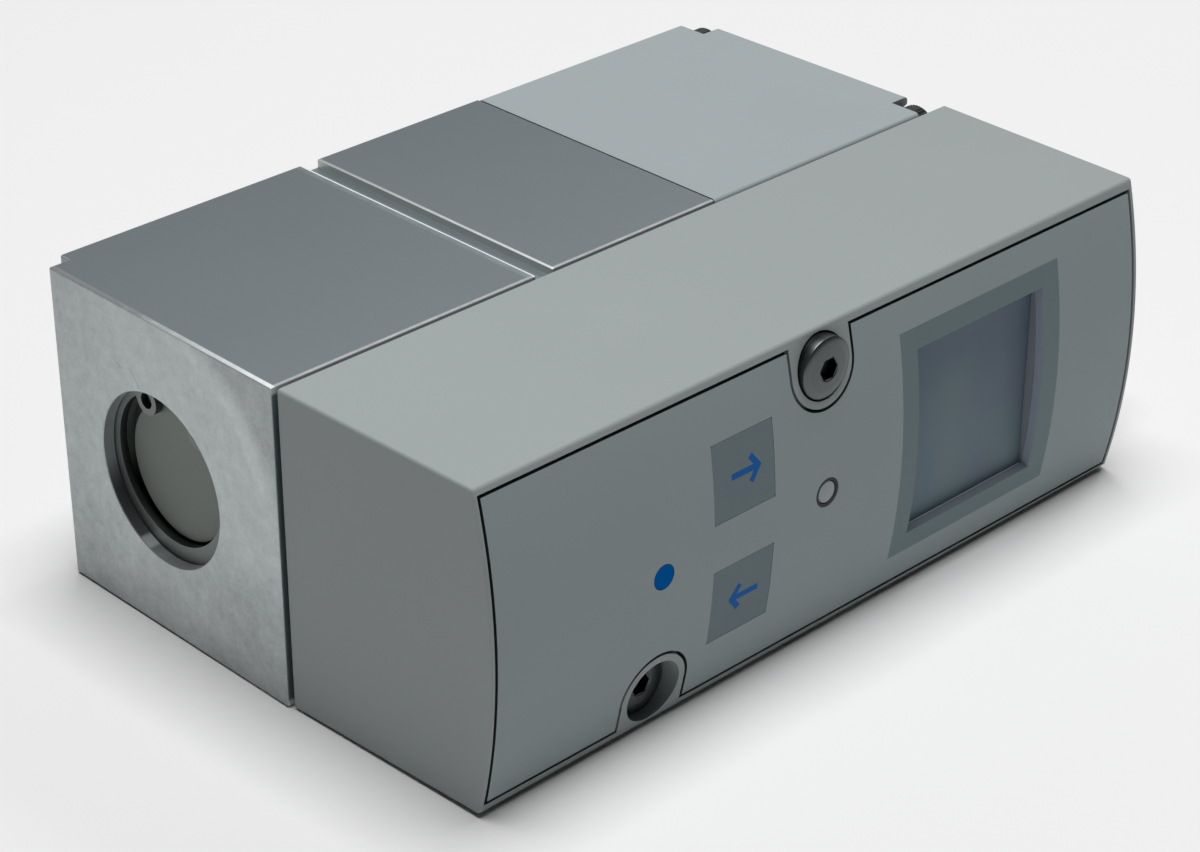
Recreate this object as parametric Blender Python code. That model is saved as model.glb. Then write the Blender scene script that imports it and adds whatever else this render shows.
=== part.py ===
# Electro pneumatic pressure regulator, flange type, modelled lying on its side.
# Product axes: x runs from the bored end of the valve body to the connector end, y from the
# operating panel back to the port face, z across the width. Lengths are in metres.
import math

import bmesh
import bpy
from mathutils import Matrix, Vector

# Overall size and general clearances
WIDTH = 0.042
SEAT_GAP = 0.0003
JOINT_GAP = 0.00015
OVERCUT = 0.002
FACETS = 32
SCREW_FACETS = 20
SMALL_FACETS = 16
FINE_FACETS = 12
PIN_FACETS = 6
SEAL_FACETS = 24
SEAL_SIDES = 6
SPRING_FACETS = 12
SPRING_SIDES = 5
ARC_STEPS = 8
DOME_STEPS = 4

# Front housing, a moulded hood with a bowed front
HOUSING_LENGTH = 0.112
HOUSING_DEPTH = 0.0304
FRONT_SAG = 0.0026
FRONT_STEPS = 12
DRAFT_BORED_END = 0.0011
DRAFT_PLUG_END = 0.0004
DRAFT_SIDES = 0.0003
HOUSING_EDGE = 0.0008
HOUSING_REAR_EDGE = 0.0003
HOUSING_WALL = 0.0022
FRONT_WALL = 0.003

# Panel let into the front
PANEL_THICKNESS = 0.0012
PANEL_GAP = 0.00045
PANEL_BACK_GAP = 0.0003
RIM_BORED_END = 0.00085
RIM_PLUG_END = 0.0004
RIM_SIDES = 0.00085
PANEL_CORNER = 0.0008

# Screw tabs of the housing that reach into the panel
TAB_RADIUS = 0.00495
RECESS_RADIUS = 0.00405
RECESS_FLOOR_Y = 0.0035
UPPER_SCREW_X = 0.0538
LOWER_SCREW_X = 0.027
SCREW_FROM_SIDE = 0.005
SCREW_POST_RADIUS = 0.0051

# Fixing screws, M4 button heads
FIXING_SHANK_RADIUS = 0.002
FIXING_HOLE_RADIUS = 0.00225
FIXING_HEAD_RADIUS = 0.0038
FIXING_HEAD_HEIGHT = 0.0022
FIXING_HEAD_FLAT = 0.0022
FIXING_DOME_HEIGHT = 0.0018
FIXING_SOCKET_ACROSS = 0.0025
FIXING_SOCKET_DEPTH = 0.0013
FIXING_LENGTH = 0.075
UPPER_HEAD_TOP_Y = -0.002
LOWER_HEAD_TOP_Y = 0.001

# Display. The place is the share of the room between the upper screw's post and the end wall
# that lies before the well.
WINDOW_LENGTH = 0.0232
WINDOW_PLACE = 0.37555
WINDOW_FROM_LOWER_SIDE = 0.00825
WINDOW_FROM_UPPER_SIDE = 0.0085
WELL_FLOOR_Y = 0.0
WINDOW_THICKNESS = 0.001
FRAME_WALL = 0.0024
FRAME_REBATE = 0.001
FRAME_BACK_Y = 0.004

# Keys
KEY_X = 0.04
KEY_PITCH = 0.01615
KEY_LENGTH = 0.0098
KEY_HEIGHT = 0.00985
KEY_GAP = 0.00012
KEY_TRAVEL = 0.0004
KEY_FLANGE = 0.0012
KEY_FLANGE_BACK_Y = 0.0032
KEY_STEM_RADIUS = 0.002
KEY_STEM_CLEARANCE = 0.0001
EDIT_KEY_X = 0.027
EDIT_KEY_RADIUS = 0.00155

# Status light
LIGHT_X = 0.0538
LIGHT_RADIUS = 0.0014
LIGHT_FLANGE_RADIUS = 0.0024
LIGHT_FLANGE_THICKNESS = 0.0008

# Circuit board and what it carries
BOARD_FRONT_Y = 0.008
BOARD_THICKNESS = 0.0016
BOARD_START_X = 0.0045
BOARD_TO_CONNECTOR = 0.0005
BOARD_SIDE_GAP = 0.0003
MAT_THICKNESS = 0.001
MAT_MARGIN = 0.0035
DOME_RADIUS = 0.0022
DOME_HEIGHT = 0.0015
SENSOR_X = 0.0333
SENSOR_RADIUS = 0.0045
SENSOR_HEIGHT = 0.006
SENSOR_NOZZLE_RADIUS = 0.0014
SENSOR_BORE_RADIUS = 0.0006
SENSOR_REACH = 0.0035

# Back plate and gasket between the housing and the valve
PLATE_THICKNESS = 0.0019
PLATE_RECESS = 0.0003
HOUSING_TO_VALVE = 0.0007
GASKET_THICKNESS = 0.0005
GASKET_INSET = 0.0012

# Round plug connector on the housing's far end
CONNECTOR_Y = 0.0155
CONNECTOR_THREAD_RADIUS = 0.006
CONNECTOR_CAVITY_RADIUS = 0.0049
CONNECTOR_FLANGE_RADIUS = 0.0085
CONNECTOR_FLANGE_THICKNESS = 0.0018
CONNECTOR_REACH = 0.011
CONNECTOR_CAVITY_DEPTH = 0.0085
CONNECTOR_INNER_LENGTH = 0.0065
CONNECTOR_NUT_RADIUS = 0.0083
CONNECTOR_NUT_THICKNESS = 0.002
PIN_RADIUS = 0.0004
PIN_CIRCLE_RADIUS = 0.00275
PIN_COUNT = 7
PIN_LENGTH = 0.0068

# Metal valve blocks
VALVE_DEPTH = 0.0432
VALVE_END_STANDS_OUT = 0.0004
VALVE_BODY_END_X = 0.0393
METAL_CHAMFER = 0.00025
GROOVE_START_X = 0.0374
GROOVE_FLOOR_X = 0.0383
GROOVE_END_X = 0.0418
GROOVE_DEPTH = 0.00075
END_STEP_LENGTH = 0.0025
END_STEP_DEPTH = 0.0018
REGULATING_BODY_END_X = 0.0692

# Main bore, turned about the x axis
BORE_BEHIND_MIDDLE = 0.0005
BORE_RADIUS = 0.0111
BORE_LIP_CHAMFER = 0.0003
BORE_LIP_DEPTH = 0.0013
BORE_STEP = 0.0001
RING_FRONT_X = 0.0025
RING_THICKNESS = 0.001
RING_GROOVE_DEPTH = 0.0007
RING_SIDE_GAP = 0.00015
PLUG_LENGTH = 0.0074
CHAMBER_RADIUS = 0.0085
SEAT_X = 0.023
SEAT_LIP_HEIGHT = 0.0006
SEAT_LIP_WIDTH = 0.0009
SEAT_HOLE_RADIUS = 0.0046
SEAT_THICKNESS = 0.0025

# Retaining ring
RING_WIDTH = 0.0014
RING_GAP_ANGLE = 84.6
RING_LUG_ANGLE = 30.4
LUG_HOLE_AT_RADIUS = 0.00907
LUG_RADIUS = 0.00185
LUG_HOLE_RADIUS = 0.00102

# End plug, its seal and the guide for the poppet
PLUG_CHAMFER = 0.0003
PLUG_GROOVE_FROM_FACE = 0.0025
PLUG_GROOVE_LENGTH = 0.0024
PLUG_GROOVE_DEPTH = 0.0021
PLUG_SEAL_WIRE = 0.00095
GUIDE_BORE_DEPTH = 0.0044
GUIDE_GAP = 0.0003

# Poppet, its seal and return spring
POPPET_TRAVEL = 0.0015
POPPET_STEM_RADIUS = 0.0029
POPPET_STEM_IN_GUIDE = 0.0017
POPPET_DISC_RADIUS = 0.0066
POPPET_DISC_THICKNESS = 0.0025
POPPET_SEAL_THICKNESS = 0.0008
POPPET_SEAL_RADIUS = 0.0062
PUSH_STEM_RADIUS = 0.0019
PUSH_STEM_TIP_X = 0.037
SPRING_WIRE_RADIUS = 0.0005
SPRING_COIL_RADIUS = 0.0047
SPRING_TURNS = 3.5

# Regulating piston and its cylinder
CYLINDER_TO_SCREW_WALL = 0.00125
EXHAUST_CHAMBER_X = (0.043, 0.051)
DIVIDER_X = 0.0405
PISTON_GAP = 0.0003
PISTON_HEAD_X = (0.053, 0.0605)
PISTON_GROOVE_X = (0.0553, 0.0582)
PISTON_GROOVE_DEPTH = 0.0021
PISTON_SEAL_WIRE = 0.00095
PISTON_STEM_RADIUS = 0.0029
PISTON_VENT_RADIUS = 0.0011
PISTON_CROSS_RADIUS = 0.0008
PISTON_CUP_WALL = 0.0037
PISTON_CUP_DEPTH = 0.0035

# Ports on the back face
SUPPLY_PORT_X = 0.017
OUTPUT_PORT_X = 0.0315
EXHAUST_PORT_X = 0.047
PORT_RADIUS = 0.00375
PORT_SEAL_RECESS_RADIUS = 0.0062
PORT_SEAL_RECESS_DEPTH = 0.0014
PORT_SEAL_WIRE = 0.00085
PORT_SEAL_RADIUS = 0.0051

# Seals in the joint faces
FACE_SEAL_WIDTH = 0.0012
FACE_SEAL_DEPTH = 0.0011
BODY_SEAL_RADIUS = 0.0106
BASE_SEAL_FROM_CYLINDER = 0.0015

# Screws that hold the two metal blocks together
BODY_SCREW_FROM_FACE = 0.004
BODY_SCREW_FROM_SIDE = 0.0098
BODY_SCREW_LENGTH = 0.036
M3_SHANK_RADIUS = 0.0015
M3_HOLE_RADIUS = 0.0017
M3_HEAD_RADIUS = 0.00275
M3_HEAD_HEIGHT = 0.003
M3_SOCKET_ACROSS = 0.0025
M3_SOCKET_DEPTH = 0.0015

# Pilot cover, a moulded cap with a seat for a screw at each corner
COVER_END_X = 0.1107
COVER_END_SLOPE = 0.0007
COVER_EDGE = 0.0006
COVER_WALL = 0.0025
COVER_POST_Y = 0.0078
COVER_POST_Z = 0.0084
COVER_SEAT_DEPTH = 0.0032
COVER_SEAT_Y = 0.0047
COVER_SEAT_Z = 0.0068
COVER_SCREW_FROM_FACE = 0.0026
COVER_SCREW_FROM_SIDE = 0.0033
COVER_SCREW_LENGTH = 0.047

# Pilot stage under the cover
PILOT_BASE_THICKNESS = 0.005
PILOT_OFFSET_Y = 0.0076
PILOT_WIDTH = 0.0142
PILOT_HEIGHT = 0.016
PILOT_LENGTH = 0.024
PILOT_EDGE = 0.0012
NOZZLE_HEIGHT = 0.0013
NOZZLE_RADIUS = 0.0016
NOZZLE_HOLE_RADIUS = 0.0006
ARMATURE_RADIUS = 0.0039
ARMATURE_LENGTH = 0.009
ARMATURE_BORE_DEPTH = 0.0165
ARMATURE_GAP = 0.0003
ARMATURE_TRAVEL = 0.0004
PILOT_SPRING_WIRE = 0.0003
PILOT_SPRING_COIL = 0.0028
PILOT_SPRING_TURNS = 3.0

# Values worked out from the sizes above
MID_Z = WIDTH / 2
VALVE_FRONT_Y = HOUSING_DEPTH + HOUSING_TO_VALVE
VALVE_BACK_Y = VALVE_FRONT_Y + VALVE_DEPTH
BORE_Y = VALVE_FRONT_Y + VALVE_DEPTH / 2 + BORE_BEHIND_MIDDLE
BORE_AXIS = (0.0, BORE_Y, MID_Z)
BORED_FACE_X = -VALVE_END_STANDS_OUT
FRONT_HALF = MID_Z - DRAFT_SIDES
FRONT_RADIUS = (FRONT_HALF ** 2 + FRONT_SAG ** 2) / (2 * FRONT_SAG)
FRONT_CENTRE_Y = FRONT_RADIUS - FRONT_SAG
POCKET_DEPTH = PANEL_THICKNESS + PANEL_BACK_GAP
UPPER_SCREW = (UPPER_SCREW_X, WIDTH - SCREW_FROM_SIDE)
LOWER_SCREW = (LOWER_SCREW_X, SCREW_FROM_SIDE)
UPPER_KEY_Z = MID_Z + KEY_PITCH / 2
LOWER_KEY_Z = MID_Z - KEY_PITCH / 2
WINDOW_ROOM_X = (UPPER_SCREW_X + SCREW_POST_RADIUS, HOUSING_LENGTH - HOUSING_WALL)
WINDOW_SPARE = WINDOW_ROOM_X[1] - WINDOW_ROOM_X[0] - WINDOW_LENGTH - 2 * FRAME_WALL
WINDOW_START_X = WINDOW_ROOM_X[0] + FRAME_WALL + WINDOW_PLACE * WINDOW_SPARE
WINDOW_X = (WINDOW_START_X, WINDOW_START_X + WINDOW_LENGTH)
WINDOW_Z = (WINDOW_FROM_LOWER_SIDE, WIDTH - WINDOW_FROM_UPPER_SIDE)
BOARD_X = (BOARD_START_X, HOUSING_LENGTH - CONNECTOR_INNER_LENGTH - BOARD_TO_CONNECTOR)
BOARD_BACK_Y = BOARD_FRONT_Y + BOARD_THICKNESS
DOME_TOP_Y = BOARD_FRONT_Y - SEAT_GAP - MAT_THICKNESS - DOME_HEIGHT
KEY_STEM_END_Y = DOME_TOP_Y - KEY_TRAVEL - KEY_STEM_CLEARANCE
CLOSE_BORE_RADIUS = BORE_RADIUS - BORE_STEP
RING_BACK_X = RING_FRONT_X + RING_THICKNESS
PLUG_FRONT_X = RING_BACK_X + SEAT_GAP
PLUG_BACK_X = PLUG_FRONT_X + PLUG_LENGTH
PLUG_SEAT_X = PLUG_BACK_X + SEAT_GAP
PLUG_RADIUS = CLOSE_BORE_RADIUS - SEAT_GAP
GUIDE_BORE_RADIUS = POPPET_STEM_RADIUS + GUIDE_GAP
SEAT_TOP_X = SEAT_X - SEAT_LIP_HEIGHT
OUTPUT_CHAMBER_X = SEAT_X + SEAT_THICKNESS
POPPET_SEAL_BACK_X = SEAT_TOP_X - SEAT_GAP
POPPET_SEAL_FRONT_X = POPPET_SEAL_BACK_X - POPPET_SEAL_THICKNESS
POPPET_DISC_BACK_X = POPPET_SEAL_FRONT_X - SEAT_GAP
POPPET_DISC_FRONT_X = POPPET_DISC_BACK_X - POPPET_DISC_THICKNESS
PISTON_TIP_X = PUSH_STEM_TIP_X + SEAT_GAP
CYLINDER_RADIUS = MID_Z - SCREW_FROM_SIDE - FIXING_HOLE_RADIUS - CYLINDER_TO_SCREW_WALL
PISTON_RADIUS = CYLINDER_RADIUS - PISTON_GAP
PISTON_CUP_RADIUS = PISTON_RADIUS - PISTON_CUP_WALL
BASE_SEAL_RADIUS = CYLINDER_RADIUS + BASE_SEAL_FROM_CYLINDER
REGULATING_BODY_X = VALVE_BODY_END_X + JOINT_GAP
COVER_X = REGULATING_BODY_END_X + JOINT_GAP
PILOT_BASE_X = REGULATING_BODY_END_X + SEAT_GAP
PILOT_BASE_END_X = PILOT_BASE_X + PILOT_BASE_THICKNESS
PILOT_X = PILOT_BASE_END_X + SEAT_GAP
ARMATURE_X = PILOT_BASE_END_X + NOZZLE_HEIGHT + SEAT_GAP
CONNECTOR_FLANGE_X = HOUSING_LENGTH + JOINT_GAP
CONNECTOR_END_X = HOUSING_LENGTH + CONNECTOR_REACH
MODEL_CENTRE_X = (BORED_FACE_X + CONNECTOR_END_X) / 2
SCREW_TIP_Y = LOWER_HEAD_TOP_Y + FIXING_HEAD_HEIGHT + FIXING_LENGTH
MODEL_CENTRE_Y = (SCREW_TIP_Y - FRONT_SAG) / 2

# Finishes: colour, roughness, metallic
HOUSING_GREY = ((0.46, 0.50, 0.49), 0.55, 0.0)
PANEL_GREY = ((0.40, 0.44, 0.44), 0.5, 0.0)
KEY_GREY = ((0.28, 0.32, 0.32), 0.5, 0.0)
PRINT_BLUE = ((0.0, 0.16, 0.46), 0.45, 0.0)
SATIN_METAL = ((0.38, 0.41, 0.42), 0.4, 0.9)
TURNED_METAL = ((0.5, 0.52, 0.52), 0.35, 1.0)
COVER_GREY = ((0.52, 0.58, 0.58), 0.55, 0.0)
PLATED_STEEL = ((0.42, 0.43, 0.42), 0.35, 1.0)
BLACK_STEEL = ((0.03, 0.03, 0.03), 0.45, 0.8)
BRASS = ((0.6, 0.45, 0.2), 0.3, 1.0)
SEAL_BLACK = ((0.02, 0.02, 0.02), 0.6, 0.0)
GLASS_GREY = ((0.12, 0.17, 0.2), 0.1, 0.0)
BLACK_PLASTIC = ((0.03, 0.03, 0.035), 0.45, 0.0)
LIGHT_WHITE = ((0.75, 0.77, 0.75), 0.35, 0.0)
BOARD_GREEN = ((0.03, 0.2, 0.08), 0.5, 0.0)
COIL_BLUE = ((0.05, 0.1, 0.25), 0.5, 0.0)


def clear_scene():
    for item in list(bpy.data.objects):
        bpy.data.objects.remove(item, do_unlink=True)


def make_frame():
    # The parent puts the middle of the part's base at the world origin.
    frame = bpy.data.objects.new("regulator_frame", None)
    frame.location = (-MODEL_CENTRE_X, -MODEL_CENTRE_Y, 0.0)
    bpy.context.scene.collection.objects.link(frame)
    return frame


def make_finish(name, finish):
    colour, roughness, metallic = finish
    material = bpy.data.materials.new(name)
    material.use_nodes = True
    shader = material.node_tree.nodes["Principled BSDF"]
    shader.inputs["Base Color"].default_value = (*colour, 1.0)
    shader.inputs["Roughness"].default_value = roughness
    shader.inputs["Metallic"].default_value = metallic
    return material


def add_mesh(name, bm, origin):
    # The mesh is built in product coordinates and handed over round its own origin.
    bmesh.ops.recalc_face_normals(bm, faces=bm.faces[:])
    bmesh.ops.translate(bm, verts=bm.verts[:], vec=-Vector(origin))
    mesh = bpy.data.meshes.new(name)
    bm.to_mesh(mesh)
    bm.free()
    item = bpy.data.objects.new(name, mesh)
    item.location = origin
    item.parent = bpy.data.objects["regulator_frame"]
    bpy.context.scene.collection.objects.link(item)
    return item


def add_piece(name, bm, finish, origin=(0.0, 0.0, 0.0)):
    item = add_mesh(name, bm, origin)
    item.data.materials.append(make_finish(name, finish))
    item.data.shade_smooth()
    item.data.set_sharp_from_angle(angle=math.radians(32))
    return item


def add_cutter(name, bm, origin=(0.0, 0.0, 0.0)):
    item = add_mesh(name, bm, origin)
    item.hide_render = True
    item.display_type = "WIRE"
    return item


def combine(item, tool, operation="DIFFERENCE"):
    modifier = item.modifiers.new(tool.name, "BOOLEAN")
    modifier.operation = operation
    modifier.solver = "EXACT"
    modifier.object = tool
    return modifier


def merged(parts):
    # Several closed shapes in one mesh, for cutters that do one job together.
    whole = bmesh.new()
    for part in parts:
        copy = bpy.data.meshes.new("part")
        part.to_mesh(copy)
        part.free()
        whole.from_mesh(copy)
        bpy.data.meshes.remove(copy)
    return whole


def prism(outline, sweep):
    # A flat outline, given as points, pushed along one vector.
    bm = bmesh.new()
    face = bm.faces.new([bm.verts.new(point) for point in outline])
    moved = bmesh.ops.extrude_face_region(bm, geom=[face])
    tops = [piece for piece in moved["geom"] if isinstance(piece, bmesh.types.BMVert)]
    bmesh.ops.translate(bm, verts=tops, vec=sweep)
    bmesh.ops.recalc_face_normals(bm, faces=bm.faces[:])
    return bm


def block(x_span, y_span, z_span):
    corners = [(x_span[i], y_span[j], z_span[0]) for i, j in ((0, 0), (1, 0), (1, 1), (0, 1))]
    return prism(corners, (0.0, 0.0, z_span[1] - z_span[0]))


def turned(profile, axis_point=BORE_AXIS, direction="X", facets=FACETS):
    # A profile of (along the axis, radius) points spun round an axis through axis_point.
    bm = bmesh.new()
    ring = [bm.verts.new((along, 0.0, radius)) for along, radius in profile]
    edges = [bm.edges.new((ring[i - 1], ring[i])) for i in range(1, len(ring))]
    if profile[0][1] > 0.0:
        edges.append(bm.edges.new((ring[-1], ring[0])))
    bmesh.ops.spin(bm, geom=ring + edges, cent=(0.0, 0.0, 0.0), axis=(1.0, 0.0, 0.0),
                   angle=2 * math.pi, steps=facets, use_merge=True)
    bmesh.ops.remove_doubles(bm, verts=bm.verts[:], dist=1e-6)
    if direction == "Y":
        bmesh.ops.rotate(bm, verts=bm.verts[:], matrix=Matrix.Rotation(math.pi / 2, 3, "Z"))
    bmesh.ops.translate(bm, verts=bm.verts[:], vec=axis_point)
    bmesh.ops.recalc_face_normals(bm, faces=bm.faces[:])
    return bm


def rod(radius, span, axis_point, direction="X", facets=SMALL_FACETS):
    profile = [(span[0], 0.0), (span[0], radius), (span[1], radius), (span[1], 0.0)]
    return turned(profile, axis_point, direction, facets)


def round_seal(radius, wire, middle, axis_point, direction="X", facets=SEAL_FACETS, sides=SEAL_SIDES):
    turns = [2 * math.pi * i / sides for i in range(sides)]
    profile = [(middle + wire * math.cos(a), radius + wire * math.sin(a)) for a in turns]
    return turned(profile, axis_point, direction, facets)


def spring(coil_radius, wire, start, end, turns, axis_point, per_turn=SPRING_FACETS, sides=SPRING_SIDES):
    # A round wire wound about x, built ring by ring and capped at both ends.
    bm = bmesh.new()
    steps = int(turns * per_turn)
    rings = []
    for i in range(steps + 1):
        turn = 2 * math.pi * turns * i / steps
        out = Vector((0.0, math.cos(turn), math.sin(turn)))
        along = start + wire + (end - start - 2 * wire) * i / steps
        centre = Vector(axis_point) + Vector((along, 0.0, 0.0)) + out * coil_radius
        ring = []
        for j in range(sides):
            a = 2 * math.pi * j / sides
            ring.append(bm.verts.new(centre + out * wire * math.cos(a) + Vector((wire * math.sin(a), 0, 0))))
        rings.append(ring)
    for a, b in zip(rings, rings[1:]):
        for j in range(sides):
            bm.faces.new((a[j - 1], a[j], b[j], b[j - 1]))
    bm.faces.new(rings[0])
    bm.faces.new(rings[-1])
    bmesh.ops.recalc_face_normals(bm, faces=bm.faces[:])
    return bm


def bevel(bm, edges, width, segments=1):
    bmesh.ops.bevel(bm, geom=edges, offset=width, segments=segments, profile=0.5,
                    affect="EDGES", clamp_overlap=True)


def square_edges(bm, least_angle=60):
    # Outer edges where two faces meet at more than least_angle degrees.
    limit = math.radians(least_angle)
    return [edge for edge in bm.edges if edge.is_convex and edge.calc_face_angle(0.0) > limit]


def front_y(z, depth=0.0):
    # The bowed front at height z, or a surface depth below it.
    radius = FRONT_RADIUS - depth
    return FRONT_CENTRE_Y - math.sqrt(radius ** 2 - (z - MID_Z) ** 2)


def front_curve(z_span, depth, steps):
    heights = [z_span[0] + (z_span[1] - z_span[0]) * i / steps for i in range(steps + 1)]
    return [(front_y(z, depth), z) for z in heights]


def bowed_slab(x_span, z_span, depth, back_depth=None, back_y=None, steps=FRONT_STEPS):
    # A slab under the bowed front: its face follows the bow, its back is bowed or flat.
    face = front_curve(z_span, depth, steps)
    if back_y is None:
        back = front_curve(z_span, back_depth, steps)
    else:
        back = [(back_y, z_span[0]), (back_y, z_span[1])]
    outline = [(x_span[0], y, z) for y, z in face + back[::-1]]
    return prism(outline, (x_span[1] - x_span[0], 0.0, 0.0))


def tab_outline(centre, radius, side_z, facets=FINE_FACETS):
    # A tongue with a round end that reaches in from one long side of the front.
    x, z = centre
    towards_side = 1.0 if side_z > z else -1.0
    points = [(x - radius, side_z)]
    for i in range(facets + 1):
        a = math.pi * i / facets
        points.append((x - radius * math.cos(a), z - towards_side * radius * math.sin(a)))
    points.append((x + radius, side_z))
    return points


def tab_prisms(radius, y_span):
    parts = []
    for centre, side_z in ((UPPER_SCREW, WIDTH + OVERCUT), (LOWER_SCREW, -OVERCUT)):
        outline = [(x, y_span[0], z) for x, z in tab_outline(centre, radius, side_z)]
        parts.append(prism(outline, (0.0, y_span[1] - y_span[0], 0.0)))
    return merged(parts)


def grown(span, amount):
    return (span[0] - amount, span[1] + amount)


def centred(middle, length):
    return (middle - length / 2, middle + length / 2)


def key_spans(z_middle, margin=0.0):
    return grown(centred(KEY_X, KEY_LENGTH), margin), grown(centred(z_middle, KEY_HEIGHT), margin)


def panel_spans(margin):
    # The panel's own edge at margin 0 and its pocket's wall at margin PANEL_GAP.
    bored_end = DRAFT_BORED_END + RIM_BORED_END + PANEL_GAP
    plug_end = HOUSING_LENGTH - DRAFT_PLUG_END - RIM_PLUG_END - PANEL_GAP
    side = DRAFT_SIDES + RIM_SIDES + PANEL_GAP
    return grown((bored_end, plug_end), margin), grown((side, WIDTH - side), margin)


def make_housing():
    outline = [(0.0, HOUSING_DEPTH, 0.0)]
    outline += [(0.0, y, z) for y, z in front_curve((DRAFT_SIDES, WIDTH - DRAFT_SIDES), 0.0, FRONT_STEPS)]
    outline += [(0.0, HOUSING_DEPTH, WIDTH)]
    bm = prism(outline, (HOUSING_LENGTH, 0.0, 0.0))
    for vert in bm.verts:
        share = (HOUSING_DEPTH - vert.co.y) / HOUSING_DEPTH
        vert.co.x += share * (DRAFT_BORED_END if vert.co.x < HOUSING_LENGTH / 2 else -DRAFT_PLUG_END)
    outer = square_edges(bm)
    rear = [e for e in outer if min(v.co.y for v in e.verts) > HOUSING_DEPTH - SEAT_GAP]
    bevel(bm, [e for e in outer if e not in rear], HOUSING_EDGE, 2)
    housing = add_piece("front_housing", bm, HOUSING_GREY)
    combine(housing, panel_pocket())
    combine(housing, housing_cavity())
    combine(housing, front_openings())
    combine(housing, screw_recesses())
    connector_hole = rod(CONNECTOR_THREAD_RADIUS + SEAT_GAP, (HOUSING_LENGTH - HOUSING_WALL - OVERCUT,
                         HOUSING_LENGTH + OVERCUT), (0.0, CONNECTOR_Y, MID_Z), "X", FACETS)
    combine(housing, add_cutter("cut_connector_hole", connector_hole))
    return housing


def panel_pocket():
    x_span, z_span = panel_spans(PANEL_GAP)
    pocket = add_cutter("cut_panel_pocket", bowed_slab(x_span, z_span, -OVERCUT, POCKET_DEPTH))
    tabs = tab_prisms(TAB_RADIUS, (-FRONT_SAG - 2 * OVERCUT, HOUSING_DEPTH / 2))
    combine(pocket, add_cutter("keep_screw_tabs", tabs))
    return pocket


def housing_cavity():
    x_span = (HOUSING_WALL, HOUSING_LENGTH - HOUSING_WALL)
    z_span = (HOUSING_WALL, WIDTH - HOUSING_WALL)
    slab = bowed_slab(x_span, z_span, FRONT_WALL, back_y=HOUSING_DEPTH + OVERCUT)
    cavity = add_cutter("cut_housing_cavity", slab)
    y_span = (-FRONT_SAG - OVERCUT, HOUSING_DEPTH + 2 * OVERCUT)
    posts = [rod(SCREW_POST_RADIUS, y_span, (x, 0.0, z), "Y", SCREW_FACETS) for x, z in (UPPER_SCREW, LOWER_SCREW)]
    combine(cavity, add_cutter("keep_screw_posts", merged(posts)))
    return cavity


def front_openings():
    # The display well, the keys and the status light reach through the front wall.
    y_span = (-FRONT_SAG - OVERCUT, RECESS_FLOOR_Y + OVERCUT)
    parts = [block(grown(WINDOW_X, FRAME_WALL + SEAT_GAP), y_span, grown(WINDOW_Z, FRAME_WALL + SEAT_GAP))]
    for z in (UPPER_KEY_Z, LOWER_KEY_Z):
        x_span, z_span = key_spans(z, SEAT_GAP)
        parts.append(block(x_span, y_span, z_span))
    parts.append(rod(EDIT_KEY_RADIUS + SEAT_GAP, y_span, (EDIT_KEY_X, 0.0, MID_Z), "Y"))
    parts.append(rod(LIGHT_RADIUS + SEAT_GAP, y_span, (LIGHT_X, 0.0, MID_Z), "Y"))
    return add_cutter("cut_front_openings", merged(parts))


def screw_recesses():
    parts = []
    for x, z in (UPPER_SCREW, LOWER_SCREW):
        start = -FRONT_SAG - OVERCUT
        profile = [(start, 0.0), (start, RECESS_RADIUS), (RECESS_FLOOR_Y, RECESS_RADIUS),
                   (RECESS_FLOOR_Y, FIXING_HOLE_RADIUS), (HOUSING_DEPTH + OVERCUT, FIXING_HOLE_RADIUS),
                   (HOUSING_DEPTH + OVERCUT, 0.0)]
        parts.append(turned(profile, (x, 0.0, z), "Y", SCREW_FACETS))
    return add_cutter("cut_screw_recesses", merged(parts))


def make_panel():
    x_span, z_span = panel_spans(0.0)
    bm = bowed_slab(x_span, z_span, 0.0, PANEL_THICKNESS)
    corners = [e for e in square_edges(bm) if abs(e.verts[0].co.y - e.verts[1].co.y) > PANEL_THICKNESS / 2]
    bevel(bm, corners, PANEL_CORNER, 2)
    panel = add_piece("front_panel", bm, PANEL_GREY)
    slots = tab_prisms(TAB_RADIUS + PANEL_GAP, (-FRONT_SAG - OVERCUT, RECESS_FLOOR_Y))
    combine(panel, add_cutter("cut_tab_slots", slots))
    y_span = (-FRONT_SAG - OVERCUT, RECESS_FLOOR_Y)
    parts = [block(WINDOW_X, y_span, WINDOW_Z)]
    for z in (UPPER_KEY_Z, LOWER_KEY_Z):
        key_x, key_z = key_spans(z, KEY_GAP)
        parts.append(block(key_x, y_span, key_z))
    parts.append(rod(EDIT_KEY_RADIUS + KEY_GAP, y_span, (EDIT_KEY_X, 0.0, MID_Z), "Y"))
    parts.append(rod(LIGHT_RADIUS + KEY_GAP, y_span, (LIGHT_X, 0.0, MID_Z), "Y"))
    combine(panel, add_cutter("cut_panel_openings", merged(parts)))
    return panel


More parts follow.
